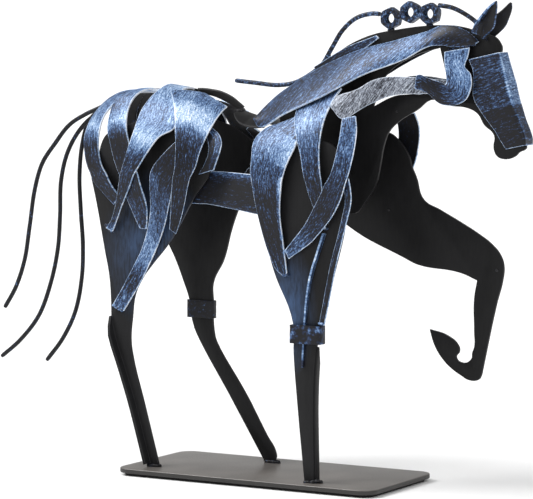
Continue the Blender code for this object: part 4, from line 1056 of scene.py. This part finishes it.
class HORSE_OT_head(Make, bpy.types.Operator):
    """Cheek curls, ears and the folded sheet over the face"""
    bl_idname = "horse.head"
    bl_label = "Head pieces"

    def build(self, context):
        for side, word in SIDES:
            lower, lean = (1.1, 1.4) if side == FAR else (0, 0)
            ribbon(word + "_cheek_curl", [
                [(113, 217.2, 5.3), (112.5, 213.1, 6), (111.3, 208, 7), (114.7, 204.5, 7.5),
                 (115.7, 200.6, 8), (115.2, 196.3, 8.6), (112.8, 191.8, 9), (108, 189.4, 9.4),
                 (100, 189.7, 10), (92, 195.5, 10.5), (86, 197, 10.8)],
                [(99.5, 215, 5.3), (99.8, 211, 6), (101, 206, 7), (102, 200.5, 8),
                 (102, 199.6, 8.6), (101.4, 198.8, 9), (99.5, 200.2, 9.4), (96, 201.3 - lower, 9.8),
                 (91, 203 - 2 * lower, 10.2), (88.5, 204 - 3 * lower, 10.5), (87, 203.5 - 3 * lower, 10.8)]],
                   [(0, 0.46), (0.18, 0.6), (0.36, 0.5), (0.55, 0.32), (0.68, 0.1), (0.85, 0.06),
                    (1, 0.3)], side, bow=0.5, columns=10)
            ribbon(word + "_ear", [
                [(114.6, 224.8, 6.8), (116, 227.4, 7.5), (119.8, 231.8, 8), (123.7 + lean, 236.4
                 - lean / 2, 7.6), (127.6 + lean, 239.8 - lean / 2, 7)],
                [(119.4, 222.8, 5.6), (119.4, 227, 5), (120.6, 231.2, 5), (124 + lean, 235.6 -
                 lean / 2, 6), (127.9 + lean, 239.8 - lean / 2, 7)],
                [(121, 222.3, 6), (126.5, 227.4, 6.5), (127.6 + lean / 2, 231.6, 7), (128.4 +
                 lean, 236.9 - lean / 2, 7), (128.3 + lean, 239.5 - lean / 2, 7)]],
                   lambda u, v: 0.16 if v < 0.3 else -0.1, side, rows=30,
                   skins=("strip", "inner", "dark_rim"))
        side_edge = [Vector((x, 0, z)) for x, z in FACE_SIDE]
        front_edge = [Vector((x, 0, z)) for x, z in FACE_FRONT]
        half, bend = 5.0, 1.1

        def face(u, v):
            rear, front = spline(side_edge, u), spline(front_edge, u)
            flank = (front - rear).length - bend
            arc = bend * pi / 2
            total = 2 * (flank + arc) + 2 * (half - bend)
            way = NEAR if v < 0.5 else FAR
            run = min(v, 1 - v) * total
            ahead = (front - rear).normalized()
            if run < flank:
                spot, out = rear + ahead * run, half
            elif run < flank + arc:
                turn = (run - flank) / bend
                spot, out = rear + ahead * (flank + bend * sin(turn)), half - bend * (1 - cos(turn))
            else:
                spot, out = front, half - bend - (run - flank - arc)
            return at(spot.x, spot.z, way * out)

        def rubbed(u, v):
            flank = min(v, 1 - v) * 2
            side = 0.24 if u < 0.56 else 0.02
            fold = 0.3 * max(0.0, 1.0 - abs(flank - 0.79) / 0.04)
            return side + fold + (0.3 - 0.06 * u) * max(0.0, min(1.0, (flank - 0.72) / 0.12))

        sheet("face_wrap_brushed", face, rubbed, "brushed_blue", ["face_wrap"], 56, 40,
              skins=("across", "inner", "rim"))


class HORSE_OT_mane(Make, bpy.types.Operator):
    """Two rods and three hexagon nuts along the crest"""
    bl_idname = "horse.mane"
    bl_label = "Mane rods and nuts"

    def build(self, context):
        sizes = context.scene.horse_sizes
        rod("mane_rod_rear", [
            (-22.6, 199.5), (-11.2, 198.5), (2.3, 197.5), (11.9, 198.8), (19.6, 202.3), (27.9,
             208.1), (33.3, 216.1), (39.8, 225.5), (47.3, 231.4), (56.8, 233.7),
            (61.2, 233.4)], 0.0, "thin", "brushed_blue")
        rod("mane_rod_front", [
            (93.3, 237.8), (100.7, 236.6), (107.2, 233.8), (113.2, 230), (117, 226)], 0.0,
            "navy", "brushed_blue")
        flats, thick = sizes.nut_flats, sizes.nut_thickness
        deselect()
        bpy.ops.mesh.primitive_cylinder_add(vertices=6, radius=flats / 2 / cos(pi / 6),
                                            depth=thick)
        blank = context.object
        deselect()
        bpy.ops.mesh.primitive_cylinder_add(vertices=64, radius=flats / 2 / cos(pi / 6) * 1.001,
                                            depth=thick * 1.0)
        chamfer = context.object
        apply_modifier(chamfer, "BEVEL", width=flats * 0.085, segments=1, limit_method="ANGLE",
                       angle_limit=radians(60), offset_type="OFFSET")
        apply_modifier(blank, "BOOLEAN", object=chamfer, operation="INTERSECT", solver="EXACT")
        bpy.data.objects.remove(chamfer, do_unlink=True)
        deselect()
        bpy.ops.mesh.primitive_cylinder_add(vertices=40, radius=sizes.nut_bore / 2,
                                            depth=thick * 1.4)
        bore = context.object
        bpy.ops.object.mode_set(mode="EDIT")
        bpy.ops.mesh.select_all(action="SELECT")
        for k in range(-9, 10):
            bpy.ops.mesh.select_all(action="SELECT")
            bpy.ops.mesh.bisect(plane_co=(0, 0, k * thick / 16), plane_no=(0, 0, 1))
        bpy.ops.object.mode_set(mode="OBJECT")
        for vert in bore.data.vertices:
            k = round(vert.co.z / (thick / 16))
            if abs(vert.co.z) < thick * 0.6 and k % 2:
                vert.co.xy *= 0.92
        apply_modifier(blank, "BOOLEAN", object=bore, operation="DIFFERENCE", solver="EXACT")
        bpy.data.objects.remove(bore, do_unlink=True)
        apply_modifier(blank, "BEVEL", width=0.00014, segments=2, limit_method="ANGLE",
                       angle_limit=radians(28), use_clamp_overlap=True)
        blank.data.materials.append(MATERIALS["thin"])
        for count, (x, z, turned) in enumerate(NUTS):
            name = "mane_nut_%d" % (count + 1)
            piece = bpy.data.objects.new(name + "_finished", blank.data.copy())
            context.scene.collection.objects.link(piece)
            piece.matrix_world = (Matrix.Translation(at(x, z)) @ Matrix.Rotation(turned, 4, "Y")
                                  @ Matrix.Rotation(pi / 2, 4, "X"))
            smooth(piece, 30)
            hand_over(piece, "brushed_blue", name)
        bpy.data.objects.remove(blank, do_unlink=True)


class HORSE_OT_tail(Make, bpy.types.Operator):
    """Three bent rods from the dock"""
    bl_idname = "horse.tail"
    bl_label = "Tail rods"

    def build(self, context):
        for name, points, offset in (
                ("tail_rod_upper", [
                    (-93, 190), (-102, 185.2), (-112.8, 180.8), (-123.3, 174.9), (-132.5, 164.9),
                     (-140.7, 154.3), (-145.4, 141.4), (-149.3, 119.8), (-152.7, 101.9),
                    (-158.4, 87.3), (-165.7, 75.9)], -0.003),
                ("tail_rod_middle", [
                    (-95, 189), (-105.2, 182.6), (-113.8, 177), (-121.7, 168.5), (-127.5, 157.9), (-130.9, 144.3), (-131.6, 126.6), (-133.1, 108.9),
                    (-137.7, 90.5), (-145.6, 72.3), (-158.1, 58.1), (-170.1, 48.7)], 0.0),
                ("tail_rod_lower", [
                    (-97, 187), (-109.4, 182), (-115.3, 176), (-119, 165.3), (-121, 148.7),
                     (-120.3, 129), (-119.1, 111.4), (-119.8, 94.3), (-124.1, 75.3),
                    (-132.2, 60.4), (-142.7, 47.9)], 0.003)):
            rod(name, points, offset, "faint", "satin_black")


class HORSE_OT_cuffs(Make, bpy.types.Operator):
    """Bands round two legs and the narrow fin down the near fore leg"""
    bl_idname = "horse.cuffs"
    bl_label = "Cuffs and fin"

    def build(self, context):
        sizes = context.scene.horse_sizes
        for node in ("near_fore_cuff", "far_hind_cuff"):
            low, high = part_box(node)
            deselect()
            bpy.ops.mesh.primitive_cube_add(size=1.0, location=(low + high) / 2)
            piece = context.object
            piece.name = node + "_brushed"
            piece.scale = high - low
            settle(piece)
            bpy.ops.object.mode_set(mode="EDIT")
            round_uprights(piece, 0.0018, 6)
            bpy.ops.mesh.select_mode(type="FACE")
            bpy.ops.mesh.select_all(action="DESELECT")
            form = bmesh.from_edit_mesh(piece.data)
            for face in form.faces:
                face.select = abs(face.normal.z) > 0.5
            bmesh.update_edit_mesh(piece.data)
            bpy.ops.mesh.delete(type="ONLY_FACE")
            bpy.ops.mesh.select_mode(type="VERT")
            for k in range(-3, 4):
                bpy.ops.mesh.select_all(action="SELECT")
                bpy.ops.mesh.bisect(plane_co=(0, 0, (low.z + high.z) / 2 + k * 0.0012),
                                    plane_no=(0, 0, 1))
            for k in range(-8, 9):
                bpy.ops.mesh.select_all(action="SELECT")
                bpy.ops.mesh.bisect(plane_co=((low.x + high.x) / 2 + k * 0.0011, 0, 0),
                                    plane_no=(1, 0, 0))
            bpy.ops.object.mode_set(mode="OBJECT")
            middle = (low + high) / 2
            for vert in piece.data.vertices:
                out = Vector((vert.co.x - middle.x, vert.co.y - middle.y, 0)).normalized()
                wave = noise.noise(vert.co * 210)
                vert.co -= out * (0.00008 + 0.00022 * abs(wave))
                vert.co.z += 0.00025 * noise.noise(vert.co * 160 + Vector((7, 0, 0)))
            skin = "cuff" if node == "near_fore_cuff" else "faint"
            piece.data.materials.append(MATERIALS[skin])
            apply_modifier(piece, "SOLIDIFY", thickness=sizes.sheet, offset=-1.0)
            apply_modifier(piece, "BEVEL", width=sizes.edge, segments=2, limit_method="ANGLE",
                           angle_limit=radians(55))
            smooth(piece)
            hand_over(piece, "brushed_blue", node)
        foot = FORE_PLANE / MM + 0.75 + 0.3
        ribbon("near_fore_fin", [[(x, z, foot) for x, z, _ in FIN],
                                 [(x, z, foot + reach) for x, z, reach in FIN]],
               [(0, 0.34), (0.6, 0.3), (0.7, 0.05), (1, 0.0)], columns=4,
               skins=("strip", "strip", "dark_rim"))


class HORSE_OT_welds(Make, bpy.types.Operator):
    """Lumpy weld beads where plates, strips, rods and nuts join"""
    bl_idname = "horse.welds"
    bl_label = "Weld beads"

    def build(self, context):
        for name, radius, skin, run in WELDS:
            line = [Vector((x, y, z)) for x, z, y in run]
            length = sum((b - a).length for a, b in zip(line, line[1:]))
            count = max(1, round(length / (radius * 0.75)))
            seed = SEEDS.setdefault("weld_" + name, len(SEEDS) + 1)
            parts = []
            for k in range(count + 1):
                here = spline(line, k / count)
                size = radius * MM * (1 + 0.22 * noise.noise(Vector((k * 1.7, seed * 2.3, 0.4))))
                deselect()
                bpy.ops.mesh.primitive_ico_sphere_add(subdivisions=3, radius=size,
                                                      location=at(here.x, here.z, here.y))
                parts.append(context.object)
            deselect()
            for part in parts:
                part.select_set(True)
            context.view_layer.objects.active = parts[0]
            if len(parts) > 1:
                bpy.ops.object.join()
            piece = context.object
            piece.name = "weld_" + name
            settle(piece)
            apply_modifier(piece, "REMESH", mode="VOXEL", voxel_size=max(0.00016, radius * 0.00024))
            for vert in piece.data.vertices:
                lump = noise.noise(vert.co * 1100 + Vector((seed, 0, 0)))
                vert.co += vert.normal * lump * radius * MM * 0.22
            apply_modifier(piece, "SMOOTH", factor=0.5, iterations=3)
            piece.data.materials.clear()
            piece.data.materials.append(MATERIALS[skin])
            smooth(piece, 60)
            hand_over(piece, "brushed_blue" if skin in ("dabbed", "thin", "navy")
                      else "satin_black")


class HORSE_OT_studio(Make, bpy.types.Operator):
    """Pale floor and backdrop, soft lights and the camera"""
    bl_idname = "horse.studio"
    bl_label = "Studio"

    def build(self, context):
        studio = context.scene.horse_studio
        deselect()
        bpy.ops.mesh.primitive_plane_add(size=1.0)
        floor = context.object
        floor.name = "studio_floor"
        floor.scale = (60, 60, 1)
        settle(floor)
        ground = Shader("studio_floor", roughness=0.9)
        place = ground.add("TexCoord", {}, "Object")
        tone = ground.noise(place, 0.8, 2.0, 0.5)
        ground.finish(ground.ramp(tone, ((0.0, [c * 0.99 for c in studio.floor]),
                                         (1.0, studio.floor))))
        floor.data.materials.append(ground.material)

        world = bpy.data.worlds.new("studio")
        context.scene.world = world
        world.use_nodes = True
        sky = world.node_tree.nodes["Background"]
        sky.inputs[0].default_value = (1, 1, 1, 1)
        around = world.node_tree.nodes.new("ShaderNodeTexCoord").outputs["Generated"]
        height = world.node_tree.nodes.new("ShaderNodeSeparateXYZ")
        fade = world.node_tree.nodes.new("ShaderNodeMapRange")
        fade.inputs["From Max"].default_value = 0.16
        fade.inputs["To Min"].default_value = 1.15
        fade.inputs["To Max"].default_value = studio.sky
        world.node_tree.links.new(around, height.inputs[0])
        world.node_tree.links.new(height.outputs[2], fade.inputs["Value"])
        world.node_tree.links.new(fade.outputs[0], sky.inputs[1])

        for name, place, spread, power in (
                ("key_light", (-0.57, -0.33, 0.76), 34, studio.key),
                ("fill_light", (0.62, -0.5, 0.6), 50, studio.fill)):
            deselect()
            bpy.ops.object.light_add(type="SUN", location=Vector(place) * 2)
            light = context.object
            light.name = name
            light.data.energy = power
            light.data.angle = radians(spread)
            light.rotation_euler = (-Vector(place)).to_track_quat("-Z", "Y").to_euler()
        context.scene.view_settings.view_transform = "Standard"

        deselect()
        bpy.ops.object.camera_add(location=(0.73950, -1.28137, 0.23901))
        camera = context.object
        camera.name = "camera"
        aim = Vector((-0.004407, 0.0, 0.117426)) - camera.location
        camera.rotation_euler = aim.to_track_quat("-Z", "Y").to_euler()
        camera.data.lens = studio.lens
        camera.data.sensor_width = 36
        camera.data.clip_end = 100
        context.scene.camera = camera


OPERATORS = (HORSE_OT_base, HORSE_OT_legs, HORSE_OT_neck, HORSE_OT_rump, HORSE_OT_back,
             HORSE_OT_shoulder, HORSE_OT_neck_strips, HORSE_OT_head, HORSE_OT_mane, HORSE_OT_tail,
             HORSE_OT_cuffs, HORSE_OT_welds, HORSE_OT_studio)


class HORSE_PT_panel(bpy.types.Panel):
    """Sizes, colours and the pieces in the order they are made"""
    bl_idname = "HORSE_PT_panel"
    bl_label = "Sheet-metal horse"
    bl_space_type = "VIEW_3D"
    bl_region_type = "UI"
    bl_category = "Horse"

    def draw(self, context):
        for group in (context.scene.horse_sizes, context.scene.horse_colours,
                      context.scene.horse_studio):
            box = self.layout.box()
            for name in group.bl_rna.properties.keys():
                if name not in ("rna_type", "name"):
                    box.prop(group, name)
        for operator in OPERATORS:
            self.layout.operator(operator.bl_idname)


CLASSES = (HorseSizes, HorseColours, StudioSettings) + OPERATORS + (HORSE_PT_panel,)


def register():
    for made in CLASSES:
        bpy.utils.register_class(made)
    bpy.types.Scene.horse_sizes = PointerProperty(type=HorseSizes)
    bpy.types.Scene.horse_colours = PointerProperty(type=HorseColours)
    bpy.types.Scene.horse_studio = PointerProperty(type=StudioSettings)


def unregister():
    for name in ("horse_sizes", "horse_colours", "horse_studio"):
        delattr(bpy.types.Scene, name)
    for made in reversed(CLASSES):
        bpy.utils.unregister_class(made)


def main():
    register()
    make_materials()
    for operator in OPERATORS:
        group, name = operator.bl_idname.split(".")
        getattr(getattr(bpy.ops, group), name)()


if __name__ == "__main__":
    main()
